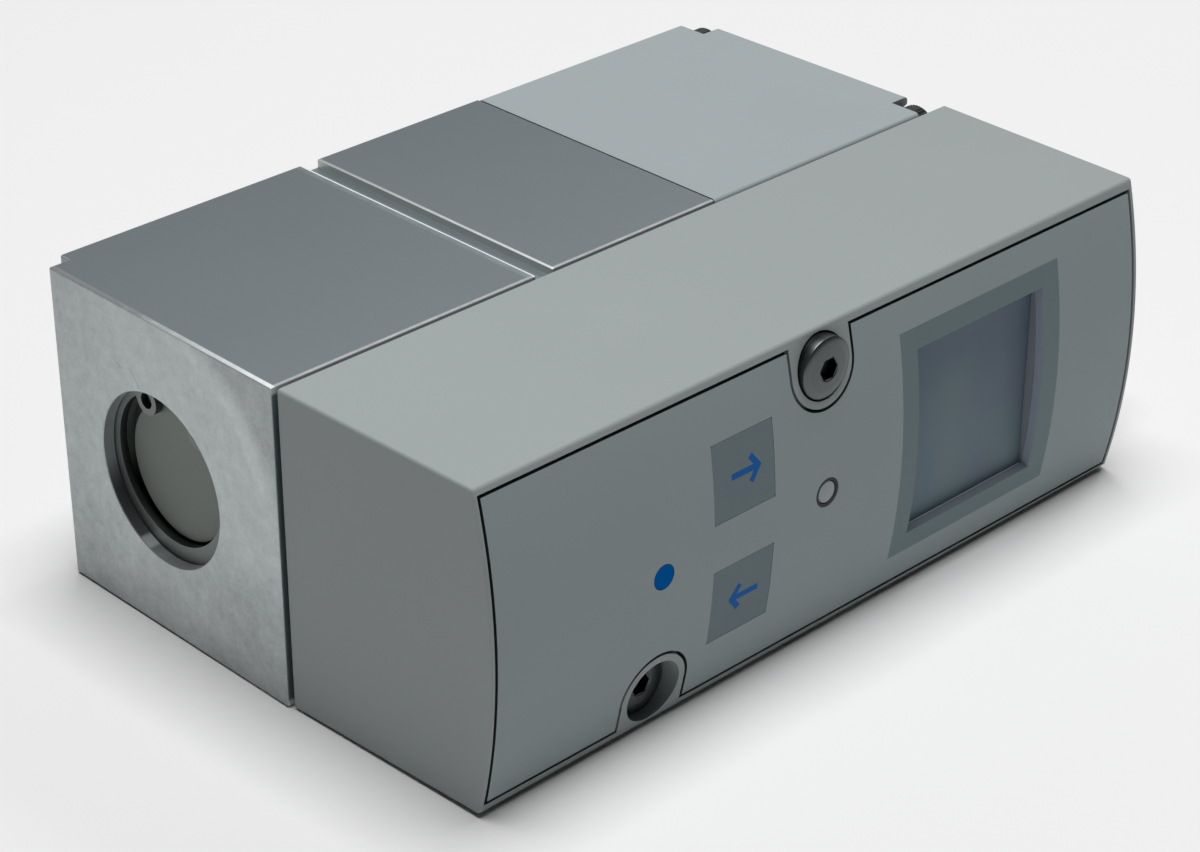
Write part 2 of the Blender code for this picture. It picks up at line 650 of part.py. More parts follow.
def make_display():
    # A frame lines the well, the window lies in its rebate and the display module behind it.
    outer_x = grown(WINDOW_X, FRAME_WALL)
    outer_z = grown(WINDOW_Z, FRAME_WALL)
    frame = add_piece("display_frame", bowed_slab(outer_x, outer_z, POCKET_DEPTH, back_y=FRAME_BACK_Y),
                      BLACK_PLASTIC)
    through = block(WINDOW_X, (-FRONT_SAG, FRAME_BACK_Y + OVERCUT), WINDOW_Z)
    combine(frame, add_cutter("cut_display_well", through))
    rebate_x = grown(WINDOW_X, FRAME_REBATE)
    rebate_z = grown(WINDOW_Z, FRAME_REBATE)
    rebate = block(rebate_x, (WELL_FLOOR_Y - JOINT_GAP, FRAME_BACK_Y + OVERCUT), rebate_z)
    combine(frame, add_cutter("cut_display_rebate", rebate))
    pane_x = grown(rebate_x, -JOINT_GAP)
    pane_z = grown(rebate_z, -JOINT_GAP)
    pane = block(pane_x, (WELL_FLOOR_Y, WELL_FLOOR_Y + WINDOW_THICKNESS), pane_z)
    add_piece("display_window", pane, GLASS_GREY)
    module_y = (WELL_FLOOR_Y + WINDOW_THICKNESS + SEAT_GAP, BOARD_FRONT_Y - SEAT_GAP)
    module = block(grown(rebate_x, -SEAT_GAP), module_y, grown(rebate_z, -SEAT_GAP))
    bevel(module, square_edges(module), HOUSING_REAR_EDGE)
    add_piece("display_module", module, BLACK_PLASTIC)


def make_square_key(name, z_middle):
    # The cap follows the bow of the panel, a flange behind the wall keeps it in.
    x_span, z_span = key_spans(z_middle)
    cap = bowed_slab(x_span, z_span, 0.0, back_y=KEY_FLANGE_BACK_Y, steps=ARC_STEPS)
    origin = (KEY_X, front_y(z_middle), z_middle)
    key = add_piece(name, cap, KEY_GREY, origin)
    flange_x = grown(x_span, KEY_FLANGE)
    flange_z = grown(z_span, KEY_FLANGE)
    flange = bowed_slab(flange_x, flange_z, FRONT_WALL + SEAT_GAP, back_y=KEY_FLANGE_BACK_Y - JOINT_GAP,
                         steps=ARC_STEPS)
    combine(key, add_cutter("join_flange_" + name, flange), "UNION")
    stem = rod(KEY_STEM_RADIUS, (KEY_FLANGE_BACK_Y - KEY_FLANGE, KEY_STEM_END_Y), (KEY_X, 0.0, z_middle), "Y", FINE_FACETS)
    combine(key, add_cutter("join_stem_" + name, stem), "UNION")


def make_edit_key():
    face = front_y(MID_Z)
    flange_radius = EDIT_KEY_RADIUS + KEY_FLANGE
    flange_front = face + FRONT_WALL + SEAT_GAP
    profile = [(face, 0.0), (face, EDIT_KEY_RADIUS), (flange_front, EDIT_KEY_RADIUS),
               (flange_front, flange_radius), (KEY_FLANGE_BACK_Y, flange_radius),
               (KEY_FLANGE_BACK_Y, EDIT_KEY_RADIUS), (KEY_STEM_END_Y, EDIT_KEY_RADIUS), (KEY_STEM_END_Y, 0.0)]
    bm = turned(profile, (EDIT_KEY_X, 0.0, MID_Z), "Y", SMALL_FACETS)
    add_piece("key_edit", bm, PRINT_BLUE, (EDIT_KEY_X, face, MID_Z))


def make_light_pipe():
    face = front_y(MID_Z)
    flange_front = face + FRONT_WALL + SEAT_GAP
    flange_back = flange_front + LIGHT_FLANGE_THICKNESS
    end = BOARD_FRONT_Y - SEAT_GAP
    profile = [(face, 0.0), (face, LIGHT_RADIUS), (flange_front, LIGHT_RADIUS),
               (flange_front, LIGHT_FLANGE_RADIUS), (flange_back, LIGHT_FLANGE_RADIUS),
               (flange_back, LIGHT_RADIUS), (end, LIGHT_RADIUS), (end, 0.0)]
    add_piece("status_light_pipe", turned(profile, (LIGHT_X, 0.0, MID_Z), "Y", SMALL_FACETS), LIGHT_WHITE)


def post_clearance(y_span):
    # Round notches that let the screw posts of the housing pass.
    radius = SCREW_POST_RADIUS + SEAT_GAP
    return [rod(radius, y_span, (x, 0.0, z), "Y", SCREW_FACETS) for x, z in (UPPER_SCREW, LOWER_SCREW)]


def make_electronics():
    board_z = (HOUSING_WALL + BOARD_SIDE_GAP, WIDTH - HOUSING_WALL - BOARD_SIDE_GAP)
    board = add_piece("circuit_board", block(BOARD_X, (BOARD_FRONT_Y, BOARD_BACK_Y), board_z), BOARD_GREEN)
    notches = post_clearance((BOARD_FRONT_Y - OVERCUT, BOARD_BACK_Y + OVERCUT))
    combine(board, add_cutter("cut_board_notches", merged(notches)))

    mat_back = BOARD_FRONT_Y - SEAT_GAP
    mat_x = (EDIT_KEY_X - MAT_MARGIN, KEY_X + KEY_LENGTH / 2)
    mat_z = (LOWER_KEY_Z - MAT_MARGIN, UPPER_KEY_Z + MAT_MARGIN)
    mat = add_piece("key_mat", block(mat_x, (mat_back - MAT_THICKNESS, mat_back), mat_z), SEAL_BLACK)
    domes = []
    for x, z in ((KEY_X, UPPER_KEY_Z), (KEY_X, LOWER_KEY_Z), (EDIT_KEY_X, MID_Z)):
        profile = [(DOME_TOP_Y, 0.0), (DOME_TOP_Y, DOME_RADIUS / 2), (mat_back - MAT_THICKNESS, DOME_RADIUS),
                   (mat_back - MAT_THICKNESS / 2, DOME_RADIUS), (mat_back - MAT_THICKNESS / 2, 0.0)]
        domes.append(turned(profile, (x, 0.0, z), "Y", FINE_FACETS))
    combine(mat, add_cutter("join_domes", merged(domes)), "UNION")
    mat_notch = post_clearance((mat_back - 2 * MAT_THICKNESS, mat_back + MAT_THICKNESS))
    combine(mat, add_cutter("cut_mat_notches", merged(mat_notch)))

    can_front = BOARD_BACK_Y + SEAT_GAP
    can_back = can_front + SENSOR_HEIGHT
    tip = VALVE_FRONT_Y + SENSOR_REACH
    profile = [(can_front, 0.0), (can_front, SENSOR_RADIUS), (can_back, SENSOR_RADIUS),
               (can_back, SENSOR_NOZZLE_RADIUS), (tip, SENSOR_NOZZLE_RADIUS), (tip, SENSOR_BORE_RADIUS),
               (can_back, SENSOR_BORE_RADIUS), (can_back, 0.0)]
    add_piece("pressure_sensor", turned(profile, (SENSOR_X, 0.0, MID_Z), "Y", SMALL_FACETS), PLATED_STEEL)


def make_back_plate():
    back = HOUSING_DEPTH - PLATE_RECESS
    plate_x = (HOUSING_WALL + SEAT_GAP, HOUSING_LENGTH - HOUSING_WALL - SEAT_GAP)
    plate_z = (HOUSING_WALL + SEAT_GAP, WIDTH - HOUSING_WALL - SEAT_GAP)
    plate = add_piece("back_plate", block(plate_x, (back - PLATE_THICKNESS, back), plate_z), BLACK_PLASTIC)
    y_span = (back - PLATE_THICKNESS - OVERCUT, back + OVERCUT)
    sensor_hole = rod(SENSOR_NOZZLE_RADIUS + SEAT_GAP, y_span, (SENSOR_X, 0.0, MID_Z), "Y")
    holes = post_clearance(y_span) + [sensor_hole]
    combine(plate, add_cutter("cut_plate_holes", merged(holes)))

    middle = HOUSING_DEPTH + HOUSING_TO_VALVE / 2
    gasket_y = centred(middle, GASKET_THICKNESS)
    gasket_x = (GASKET_INSET, COVER_END_X - COVER_SEAT_DEPTH - GASKET_INSET)
    gasket_z = (GASKET_INSET, WIDTH - GASKET_INSET)
    gasket = add_piece("housing_gasket", block(gasket_x, gasket_y, gasket_z), SEAL_BLACK)
    y_span = (gasket_y[0] - OVERCUT, gasket_y[1] + OVERCUT)
    holes = [rod(FIXING_HOLE_RADIUS, y_span, (x, 0.0, z), "Y") for x, z in (UPPER_SCREW, LOWER_SCREW)]
    holes.append(rod(SENSOR_NOZZLE_RADIUS + SEAT_GAP, y_span, (SENSOR_X, 0.0, MID_Z), "Y"))
    combine(gasket, add_cutter("cut_gasket_holes", merged(holes)))


def make_connector():
    axis = (0.0, CONNECTOR_Y, MID_Z)
    flange_end = CONNECTOR_FLANGE_X + CONNECTOR_FLANGE_THICKNESS
    inner_end = HOUSING_LENGTH - CONNECTOR_INNER_LENGTH
    cavity_floor = CONNECTOR_END_X - CONNECTOR_CAVITY_DEPTH
    edge = METAL_CHAMFER
    profile = [(inner_end, CONNECTOR_CAVITY_RADIUS), (inner_end, CONNECTOR_THREAD_RADIUS),
               (CONNECTOR_FLANGE_X, CONNECTOR_THREAD_RADIUS), (CONNECTOR_FLANGE_X, CONNECTOR_FLANGE_RADIUS),
               (flange_end - edge, CONNECTOR_FLANGE_RADIUS), (flange_end, CONNECTOR_FLANGE_RADIUS - edge),
               (flange_end, CONNECTOR_THREAD_RADIUS), (CONNECTOR_END_X - 2 * edge, CONNECTOR_THREAD_RADIUS),
               (CONNECTOR_END_X, CONNECTOR_THREAD_RADIUS - 2 * edge), (CONNECTOR_END_X, CONNECTOR_CAVITY_RADIUS)]
    add_piece("connector_shell", turned(profile, axis, "X", SEAL_FACETS), BRASS)

    nut_end = HOUSING_LENGTH - HOUSING_WALL - SEAT_GAP
    nut = []
    for i in range(6):
        a = math.pi * i / 3
        nut.append((nut_end - CONNECTOR_NUT_THICKNESS, CONNECTOR_Y + CONNECTOR_NUT_RADIUS * math.cos(a),
                    MID_Z + CONNECTOR_NUT_RADIUS * math.sin(a)))
    nut_piece = add_piece("connector_nut", prism(nut, (CONNECTOR_NUT_THICKNESS, 0.0, 0.0)), BRASS)
    bore = rod(CONNECTOR_THREAD_RADIUS + JOINT_GAP, (nut_end - 2 * CONNECTOR_NUT_THICKNESS, nut_end + OVERCUT),
               axis, "X", SEAL_FACETS)
    combine(nut_piece, add_cutter("cut_nut_bore", bore))

    insert = add_piece("connector_insert", rod(CONNECTOR_CAVITY_RADIUS - JOINT_GAP,
                       (inner_end + SEAT_GAP, cavity_floor), axis, "X", SEAL_FACETS), BLACK_PLASTIC)
    pin_x = (cavity_floor - PIN_RADIUS, cavity_floor + PIN_LENGTH)
    pins = [rod(PIN_RADIUS, pin_x, axis, "X", PIN_FACETS)]
    for i in range(PIN_COUNT):
        a = 2 * math.pi * i / PIN_COUNT
        at = (0.0, CONNECTOR_Y + PIN_CIRCLE_RADIUS * math.cos(a), MID_Z + PIN_CIRCLE_RADIUS * math.sin(a))
        pins.append(rod(PIN_RADIUS, pin_x, at, "X", PIN_FACETS))
    combine(insert, add_cutter("join_pins", merged(pins)), "UNION")


def hexagon_socket(across, depth, start, axis_point, direction):
    radius = across / math.sqrt(3)
    profile_x = (start - OVERCUT, start + depth)
    bm = rod(radius, profile_x, axis_point, direction, 6)
    return bm


def make_fixing_screw(name, centre, head_top):
    x, z = centre
    head_end = head_top + FIXING_HEAD_HEIGHT
    tip = head_end + FIXING_LENGTH
    rise = FIXING_HEAD_RADIUS - FIXING_HEAD_FLAT
    dome = []
    for i in range(DOME_STEPS + 1):
        a = math.pi / 2 * i / DOME_STEPS
        dome.append((head_top + FIXING_DOME_HEIGHT * (1 - math.cos(a)), FIXING_HEAD_FLAT + rise * math.sin(a)))
    profile = [(head_top, 0.0)] + dome + [
        (head_end, FIXING_HEAD_RADIUS), (head_end, FIXING_SHANK_RADIUS),
        (tip - METAL_CHAMFER, FIXING_SHANK_RADIUS), (tip, FIXING_SHANK_RADIUS - METAL_CHAMFER), (tip, 0.0)]
    axis_point = (x, 0.0, z)
    screw = add_piece(name, turned(profile, axis_point, "Y", SCREW_FACETS), PLATED_STEEL, (x, head_end, z))
    socket = hexagon_socket(FIXING_SOCKET_ACROSS, FIXING_SOCKET_DEPTH, head_top, axis_point, "Y")
    combine(screw, add_cutter("cut_socket_" + name, socket))


def make_m3_screw(name, at, head_end, length, facets):
    # A socket cap screw along x whose head points to the connector end.
    y, z = at
    head_start = head_end - M3_HEAD_HEIGHT
    tip = head_start - length
    edge = METAL_CHAMFER
    profile = [(tip, 0.0), (tip, M3_SHANK_RADIUS - edge), (tip + edge, M3_SHANK_RADIUS),
               (head_start, M3_SHANK_RADIUS), (head_start, M3_HEAD_RADIUS), (head_end - edge, M3_HEAD_RADIUS),
               (head_end, M3_HEAD_RADIUS - edge), (head_end, 0.0)]
    screw = add_piece(name, turned(profile, (0.0, y, z), "X", facets), BLACK_STEEL, (head_start, y, z))
    socket = rod(M3_SOCKET_ACROSS / math.sqrt(3), (head_end - M3_SOCKET_DEPTH, head_end + OVERCUT),
                 (0.0, y, z), "X", 6)
    combine(screw, add_cutter("cut_socket_" + name, socket))


def main_bore_profile():
    face = BORED_FACE_X
    lip = BORE_RADIUS + BORE_LIP_CHAMFER + OVERCUT
    close = CLOSE_BORE_RADIUS
    groove = BORE_RADIUS + RING_GROOVE_DEPTH
    groove_x = (RING_FRONT_X - RING_SIDE_GAP, RING_BACK_X + RING_SIDE_GAP)
    lip_outer = SEAT_HOLE_RADIUS + SEAT_LIP_WIDTH
    end = VALVE_BODY_END_X + OVERCUT
    return [(face - OVERCUT, 0.0), (face - OVERCUT, lip), (face + BORE_LIP_CHAMFER, BORE_RADIUS),
            (BORE_LIP_DEPTH, BORE_RADIUS), (BORE_LIP_DEPTH, close), (groove_x[0], close),
            (groove_x[0], groove), (groove_x[1], groove), (groove_x[1], close), (PLUG_SEAT_X, close),
            (PLUG_SEAT_X, CHAMBER_RADIUS), (SEAT_X, CHAMBER_RADIUS), (SEAT_X, lip_outer),
            (SEAT_TOP_X, lip_outer), (SEAT_TOP_X, SEAT_HOLE_RADIUS), (OUTPUT_CHAMBER_X, SEAT_HOLE_RADIUS),
            (OUTPUT_CHAMBER_X, CHAMBER_RADIUS), (end, CHAMBER_RADIUS), (end, 0.0)]


def port_cutters(places):
    # A drilled port and the recess of its seal for each place along the back face.
    parts = []
    mouth = VALVE_BACK_Y + OVERCUT
    recess = VALVE_BACK_Y - PORT_SEAL_RECESS_DEPTH
    for x in places:
        start = BORE_Y + CHAMBER_RADIUS / 2
        profile = [(start, 0.0), (start, PORT_RADIUS), (recess, PORT_RADIUS),
                   (recess, PORT_SEAL_RECESS_RADIUS), (mouth, PORT_SEAL_RECESS_RADIUS), (mouth, 0.0)]
        parts.append(turned(profile, (x, 0.0, MID_Z), "Y", SEAL_FACETS))
    return merged(parts)


def face_seal_groove(radius, face_x):
    inner = radius - FACE_SEAL_WIDTH / 2 - JOINT_GAP
    outer = radius + FACE_SEAL_WIDTH / 2 + JOINT_GAP
    start = face_x - FACE_SEAL_DEPTH
    return turned([(start, inner), (start, outer), (face_x + OVERCUT, outer), (face_x + OVERCUT, inner)],
                  BORE_AXIS, "X", FACETS)


def make_face_seal(name, radius, face_x):
    half = FACE_SEAL_WIDTH / 2
    start = face_x - FACE_SEAL_DEPTH + JOINT_GAP
    end = face_x + JOINT_GAP / 3
    profile = [(start, radius - half), (start, radius + half), (end, radius + half), (end, radius - half)]
    add_piece(name, turned(profile, BORE_AXIS, "X", FACETS), SEAL_BLACK)


def body_screw_places():
    ys = (VALVE_FRONT_Y + BODY_SCREW_FROM_FACE, VALVE_BACK_Y - BODY_SCREW_FROM_FACE)
    zs = (BODY_SCREW_FROM_SIDE, WIDTH - BODY_SCREW_FROM_SIDE)
    return [(y, z) for y in ys for z in zs]


def cover_screw_places():
    # The x of the seat under each head, and the y and z of its screw.
    front = (COVER_END_X - COVER_SEAT_DEPTH, VALVE_FRONT_Y + COVER_SCREW_FROM_FACE)
    back = (COVER_END_X - COVER_END_SLOPE - COVER_SEAT_DEPTH, VALVE_BACK_Y - COVER_SCREW_FROM_FACE)
    zs = (COVER_SCREW_FROM_SIDE, WIDTH - COVER_SCREW_FROM_SIDE)
    return [(seat, y, z) for seat, y in (front, back) for z in zs]


def make_valve_body():
    low, high = GROOVE_DEPTH, WIDTH - GROOVE_DEPTH
    side = [(BORED_FACE_X, 0.0), (GROOVE_START_X, 0.0), (GROOVE_FLOOR_X, low), (VALVE_BODY_END_X, low),
            (VALVE_BODY_END_X, high), (GROOVE_FLOOR_X, high), (GROOVE_START_X, WIDTH), (BORED_FACE_X, WIDTH)]
    bm = prism([(x, VALVE_FRONT_Y, z) for x, z in side], (0.0, VALVE_DEPTH, 0.0))
    bevel(bm, square_edges(bm), METAL_CHAMFER)
    body = add_piece("valve_body", bm, SATIN_METAL)
    step = block((BORED_FACE_X - OVERCUT, END_STEP_LENGTH), (VALVE_BACK_Y - END_STEP_DEPTH, VALVE_BACK_Y + OVERCUT),
                 (-OVERCUT, WIDTH + OVERCUT))
    combine(body, add_cutter("cut_end_step", step))
    combine(body, add_cutter("cut_main_bore", turned(main_bore_profile())))
    combine(body, add_cutter("cut_valve_ports", port_cutters((SUPPLY_PORT_X, OUTPUT_PORT_X))))
    x, z = LOWER_SCREW
    across = (VALVE_FRONT_Y - OVERCUT, VALVE_BACK_Y + OVERCUT)
    holes = [rod(FIXING_HOLE_RADIUS, across, (x, 0.0, z), "Y")]
    holes.append(rod(SENSOR_NOZZLE_RADIUS + SEAT_GAP, (VALVE_FRONT_Y - OVERCUT, BORE_Y - CHAMBER_RADIUS / 2),
                     (SENSOR_X, 0.0, MID_Z), "Y"))
    depth = (REGULATING_BODY_END_X - M3_HEAD_HEIGHT - BODY_SCREW_LENGTH - OVERCUT, VALVE_BODY_END_X + OVERCUT)
    holes += [rod(M3_HOLE_RADIUS, depth, (0.0, *at), "X", FINE_FACETS) for at in body_screw_places()]
    combine(body, add_cutter("cut_valve_holes", merged(holes)))
    combine(body, add_cutter("cut_body_seal_groove", face_seal_groove(BODY_SEAL_RADIUS, VALVE_BODY_END_X)))
    make_face_seal("body_seal", BODY_SEAL_RADIUS, VALVE_BODY_END_X)


def make_regulating_body():
    low, high = GROOVE_DEPTH, WIDTH - GROOVE_DEPTH
    start, end = REGULATING_BODY_X, REGULATING_BODY_END_X
    side = [(start, low), (GROOVE_END_X, low), (GROOVE_END_X, 0.0), (end, 0.0),
            (end, WIDTH), (GROOVE_END_X, WIDTH), (GROOVE_END_X, high), (start, high)]
    bm = prism([(x, VALVE_FRONT_Y, z) for x, z in side], (0.0, VALVE_DEPTH, 0.0))
    far = end - METAL_CHAMFER
    edges = [e for e in square_edges(bm) if min(v.co.x for v in e.verts) < far]
    bevel(bm, edges, METAL_CHAMFER)
    body = add_piece("regulating_body", bm, SATIN_METAL)
    guide = PISTON_STEM_RADIUS + PISTON_GAP
    vent = EXHAUST_CHAMBER_X
    profile = [(start - OVERCUT, 0.0), (start - OVERCUT, CHAMBER_RADIUS), (DIVIDER_X, CHAMBER_RADIUS),
               (DIVIDER_X, guide), (vent[0], guide), (vent[0], CHAMBER_RADIUS), (vent[1], CHAMBER_RADIUS),
               (vent[1], CYLINDER_RADIUS), (end + OVERCUT, CYLINDER_RADIUS), (end + OVERCUT, 0.0)]
    combine(body, add_cutter("cut_cylinder", turned(profile)))
    combine(body, add_cutter("cut_exhaust_port", port_cutters((EXHAUST_PORT_X,))))
    x, z = UPPER_SCREW
    across = (VALVE_FRONT_Y - OVERCUT, VALVE_BACK_Y + OVERCUT)
    holes = [rod(FIXING_HOLE_RADIUS, across, (x, 0.0, z), "Y")]
    head_seat = end - M3_HEAD_HEIGHT - SEAT_GAP
    for y, z in body_screw_places():
        profile = [(start - OVERCUT, 0.0), (start - OVERCUT, M3_HOLE_RADIUS), (head_seat - SEAT_GAP, M3_HOLE_RADIUS),
                   (head_seat - SEAT_GAP, M3_HEAD_RADIUS + SEAT_GAP), (end + OVERCUT, M3_HEAD_RADIUS + SEAT_GAP),
                   (end + OVERCUT, 0.0)]
        holes.append(turned(profile, (0.0, y, z), "X", FINE_FACETS))
    for seat, y, z in cover_screw_places():
        tapped = (seat - COVER_SCREW_LENGTH - SEAT_GAP, end + OVERCUT)
        holes.append(rod(M3_HOLE_RADIUS, tapped, (0.0, y, z), "X", FINE_FACETS))
    combine(body, add_cutter("cut_regulating_holes", merged(holes)))
    combine(body, add_cutter("cut_base_seal_groove", face_seal_groove(BASE_SEAL_RADIUS, end)))
    make_face_seal("base_seal", BASE_SEAL_RADIUS, end)


def make_retaining_ring():
    # An internal circlip: an open ring with a drilled lug on each side of its gap.
    outer = BORE_RADIUS + RING_GROOVE_DEPTH - RING_SIDE_GAP
    inner = BORE_RADIUS - RING_WIDTH + 2 * RING_SIDE_GAP
    first = math.radians(RING_GAP_ANGLE - RING_LUG_ANGLE)
    last = math.radians(RING_GAP_ANGLE + RING_LUG_ANGLE)
    outer_turn = math.asin(LUG_RADIUS / outer)
    inner_turn = math.asin(LUG_RADIUS / inner)

    def at(radius, angle):
        return (RING_FRONT_X, BORE_Y + radius * math.cos(angle), MID_Z + radius * math.sin(angle))

    def arc(radius, start, end, steps):
        return [at(radius, start + (end - start) * i / steps) for i in range(steps + 1)]

    def lug(angle, gap_side):
        # The round end of a lug, from its gap side round its inner tip to its ring side.
        radial = Vector((0.0, math.cos(angle), math.sin(angle)))
        tangent = Vector((0.0, -math.sin(angle), math.cos(angle))) * gap_side
        centre = Vector(at(LUG_HOLE_AT_RADIUS, angle))
        turns = [math.pi * i / ARC_STEPS for i in range(ARC_STEPS + 1)]
        return [tuple(centre + LUG_RADIUS * (tangent * math.cos(t) - radial * math.sin(t))) for t in turns]

    full = 2 * math.pi
    outline = arc(outer, first + outer_turn, last - outer_turn - full, FACETS)
    outline += lug(last, -1.0)
    outline += arc(inner, last + inner_turn - full, first - inner_turn, FACETS)
    outline += lug(first, 1.0)[::-1]
    ring = add_piece("retaining_ring", prism(outline, (RING_THICKNESS, 0.0, 0.0)), BLACK_STEEL)
    holes = []
    for angle in (first, last):
        point = at(LUG_HOLE_AT_RADIUS, angle)
        holes.append(rod(LUG_HOLE_RADIUS, (-OVERCUT, 2 * OVERCUT), point, "X", FINE_FACETS))
    combine(ring, add_cutter("cut_lug_holes", merged(holes)))


def make_end_plug():
    front, back = PLUG_FRONT_X, PLUG_BACK_X
    groove = (front + PLUG_GROOVE_FROM_FACE, front + PLUG_GROOVE_FROM_FACE + PLUG_GROOVE_LENGTH)
    bottom = PLUG_RADIUS - PLUG_GROOVE_DEPTH
    guide_floor = back - GUIDE_BORE_DEPTH
    profile = [(front, 0.0), (front, PLUG_RADIUS - PLUG_CHAMFER), (front + PLUG_CHAMFER, PLUG_RADIUS),
               (groove[0], PLUG_RADIUS), (groove[0], bottom), (groove[1], bottom), (groove[1], PLUG_RADIUS),
               (back - PLUG_CHAMFER, PLUG_RADIUS), (back, PLUG_RADIUS - PLUG_CHAMFER),
               (back, GUIDE_BORE_RADIUS), (guide_floor, GUIDE_BORE_RADIUS), (guide_floor, 0.0)]
    add_piece("end_plug", turned(profile), TURNED_METAL)
    seal_radius = (bottom + CLOSE_BORE_RADIUS) / 2
    seal = round_seal(seal_radius, PLUG_SEAL_WIRE, sum(groove) / 2, BORE_AXIS)
    add_piece("plug_seal", seal, SEAL_BLACK)


def make_poppet():
    tip = PLUG_BACK_X - POPPET_STEM_IN_GUIDE
    edge = METAL_CHAMFER
    profile = [(tip, 0.0), (tip, POPPET_STEM_RADIUS - edge), (tip + edge, POPPET_STEM_RADIUS),
               (POPPET_DISC_FRONT_X, POPPET_STEM_RADIUS), (POPPET_DISC_FRONT_X, POPPET_DISC_RADIUS),
               (POPPET_DISC_BACK_X, POPPET_DISC_RADIUS), (POPPET_DISC_BACK_X, PUSH_STEM_RADIUS),
               (PUSH_STEM_TIP_X - edge, PUSH_STEM_RADIUS), (PUSH_STEM_TIP_X, PUSH_STEM_RADIUS - edge),
               (PUSH_STEM_TIP_X, 0.0)]
    add_piece("main_poppet", turned(profile, BORE_AXIS, "X", SMALL_FACETS), BRASS,
              (POPPET_DISC_BACK_X, BORE_Y, MID_Z))
    inner = PUSH_STEM_RADIUS + SEAT_GAP
    washer = [(POPPET_SEAL_FRONT_X, inner), (POPPET_SEAL_FRONT_X, POPPET_SEAL_RADIUS),
              (POPPET_SEAL_BACK_X, POPPET_SEAL_RADIUS), (POPPET_SEAL_BACK_X, inner)]
    add_piece("poppet_seal", turned(washer, BORE_AXIS, "X", SMALL_FACETS), SEAL_BLACK,
              (POPPET_DISC_BACK_X, BORE_Y, MID_Z))
    coil = spring(SPRING_COIL_RADIUS, SPRING_WIRE_RADIUS, PLUG_BACK_X + SEAT_GAP,
                  POPPET_DISC_FRONT_X - SEAT_GAP, SPRING_TURNS, BORE_AXIS)
    add_piece("return_spring", coil, PLATED_STEEL)


def make_piston():
    head, groove = PISTON_HEAD_X, PISTON_GROOVE_X
    bottom = PISTON_RADIUS - PISTON_GROOVE_DEPTH
    edge = METAL_CHAMFER
    profile = [(PISTON_TIP_X, PISTON_VENT_RADIUS), (PISTON_TIP_X, PISTON_STEM_RADIUS - edge),
               (PISTON_TIP_X + edge, PISTON_STEM_RADIUS), (head[0], PISTON_STEM_RADIUS),
               (head[0], PISTON_RADIUS - edge), (head[0] + edge, PISTON_RADIUS), (groove[0], PISTON_RADIUS),
               (groove[0], bottom), (groove[1], bottom), (groove[1], PISTON_RADIUS),
               (head[1] - edge, PISTON_RADIUS), (head[1], PISTON_RADIUS - edge), (head[1], PISTON_CUP_RADIUS),
               (head[1] - PISTON_CUP_DEPTH, PISTON_CUP_RADIUS), (head[1] - PISTON_CUP_DEPTH, 0.0)]
    solid = [(PISTON_TIP_X, 0.0)] + profile[1:]
    origin = (head[0], BORE_Y, MID_Z)
    piston = add_piece("regulating_piston", turned(solid), TURNED_METAL, origin)
    vent_end = sum(EXHAUST_CHAMBER_X) / 2
    bore = rod(PISTON_VENT_RADIUS, (PISTON_TIP_X - OVERCUT, vent_end), BORE_AXIS, "X", FINE_FACETS)
    combine(piston, add_cutter("cut_piston_vent", bore))
    cross_x = vent_end - 2 * PISTON_VENT_RADIUS
    cross = rod(PISTON_CROSS_RADIUS, (BORE_Y - CHAMBER_RADIUS / 2, BORE_Y + CHAMBER_RADIUS / 2),
                (cross_x, 0.0, MID_Z), "Y", FINE_FACETS)
    combine(piston, add_cutter("cut_piston_cross_hole", cross))
    seal_radius = (bottom + CYLINDER_RADIUS) / 2
    seal = round_seal(seal_radius, PISTON_SEAL_WIRE, sum(groove) / 2, BORE_AXIS)
    add_piece("piston_seal", seal, SEAL_BLACK, origin)


def make_port_seals():
    for name, x in (("supply_port_seal", SUPPLY_PORT_X), ("output_port_seal", OUTPUT_PORT_X),
                    ("exhaust_port_seal", EXHAUST_PORT_X)):
        middle = VALVE_BACK_Y - PORT_SEAL_RECESS_DEPTH + PORT_SEAL_WIRE + JOINT_GAP
        seal = round_seal(PORT_SEAL_RADIUS, PORT_SEAL_WIRE, middle, (x, 0.0, MID_Z), "Y")
        add_piece(name, seal, SEAL_BLACK)


def cavity_outline(margin):
    # A rectangle whose corners are stepped in round the four screw posts of the cover.
    y0, y1 = VALVE_FRONT_Y + COVER_WALL + margin, VALVE_BACK_Y - COVER_WALL - margin
    z0, z1 = COVER_WALL + margin, WIDTH - COVER_WALL - margin
    py0, py1 = VALVE_FRONT_Y + COVER_POST_Y + margin, VALVE_BACK_Y - COVER_POST_Y - margin
    pz0, pz1 = COVER_POST_Z + margin, WIDTH - COVER_POST_Z - margin
    return [(py0, z0), (py1, z0), (py1, pz0), (y1, pz0), (y1, pz1), (py1, pz1),
            (py1, z1), (py0, z1), (py0, pz1), (y0, pz1), (y0, pz0), (py0, pz0)]


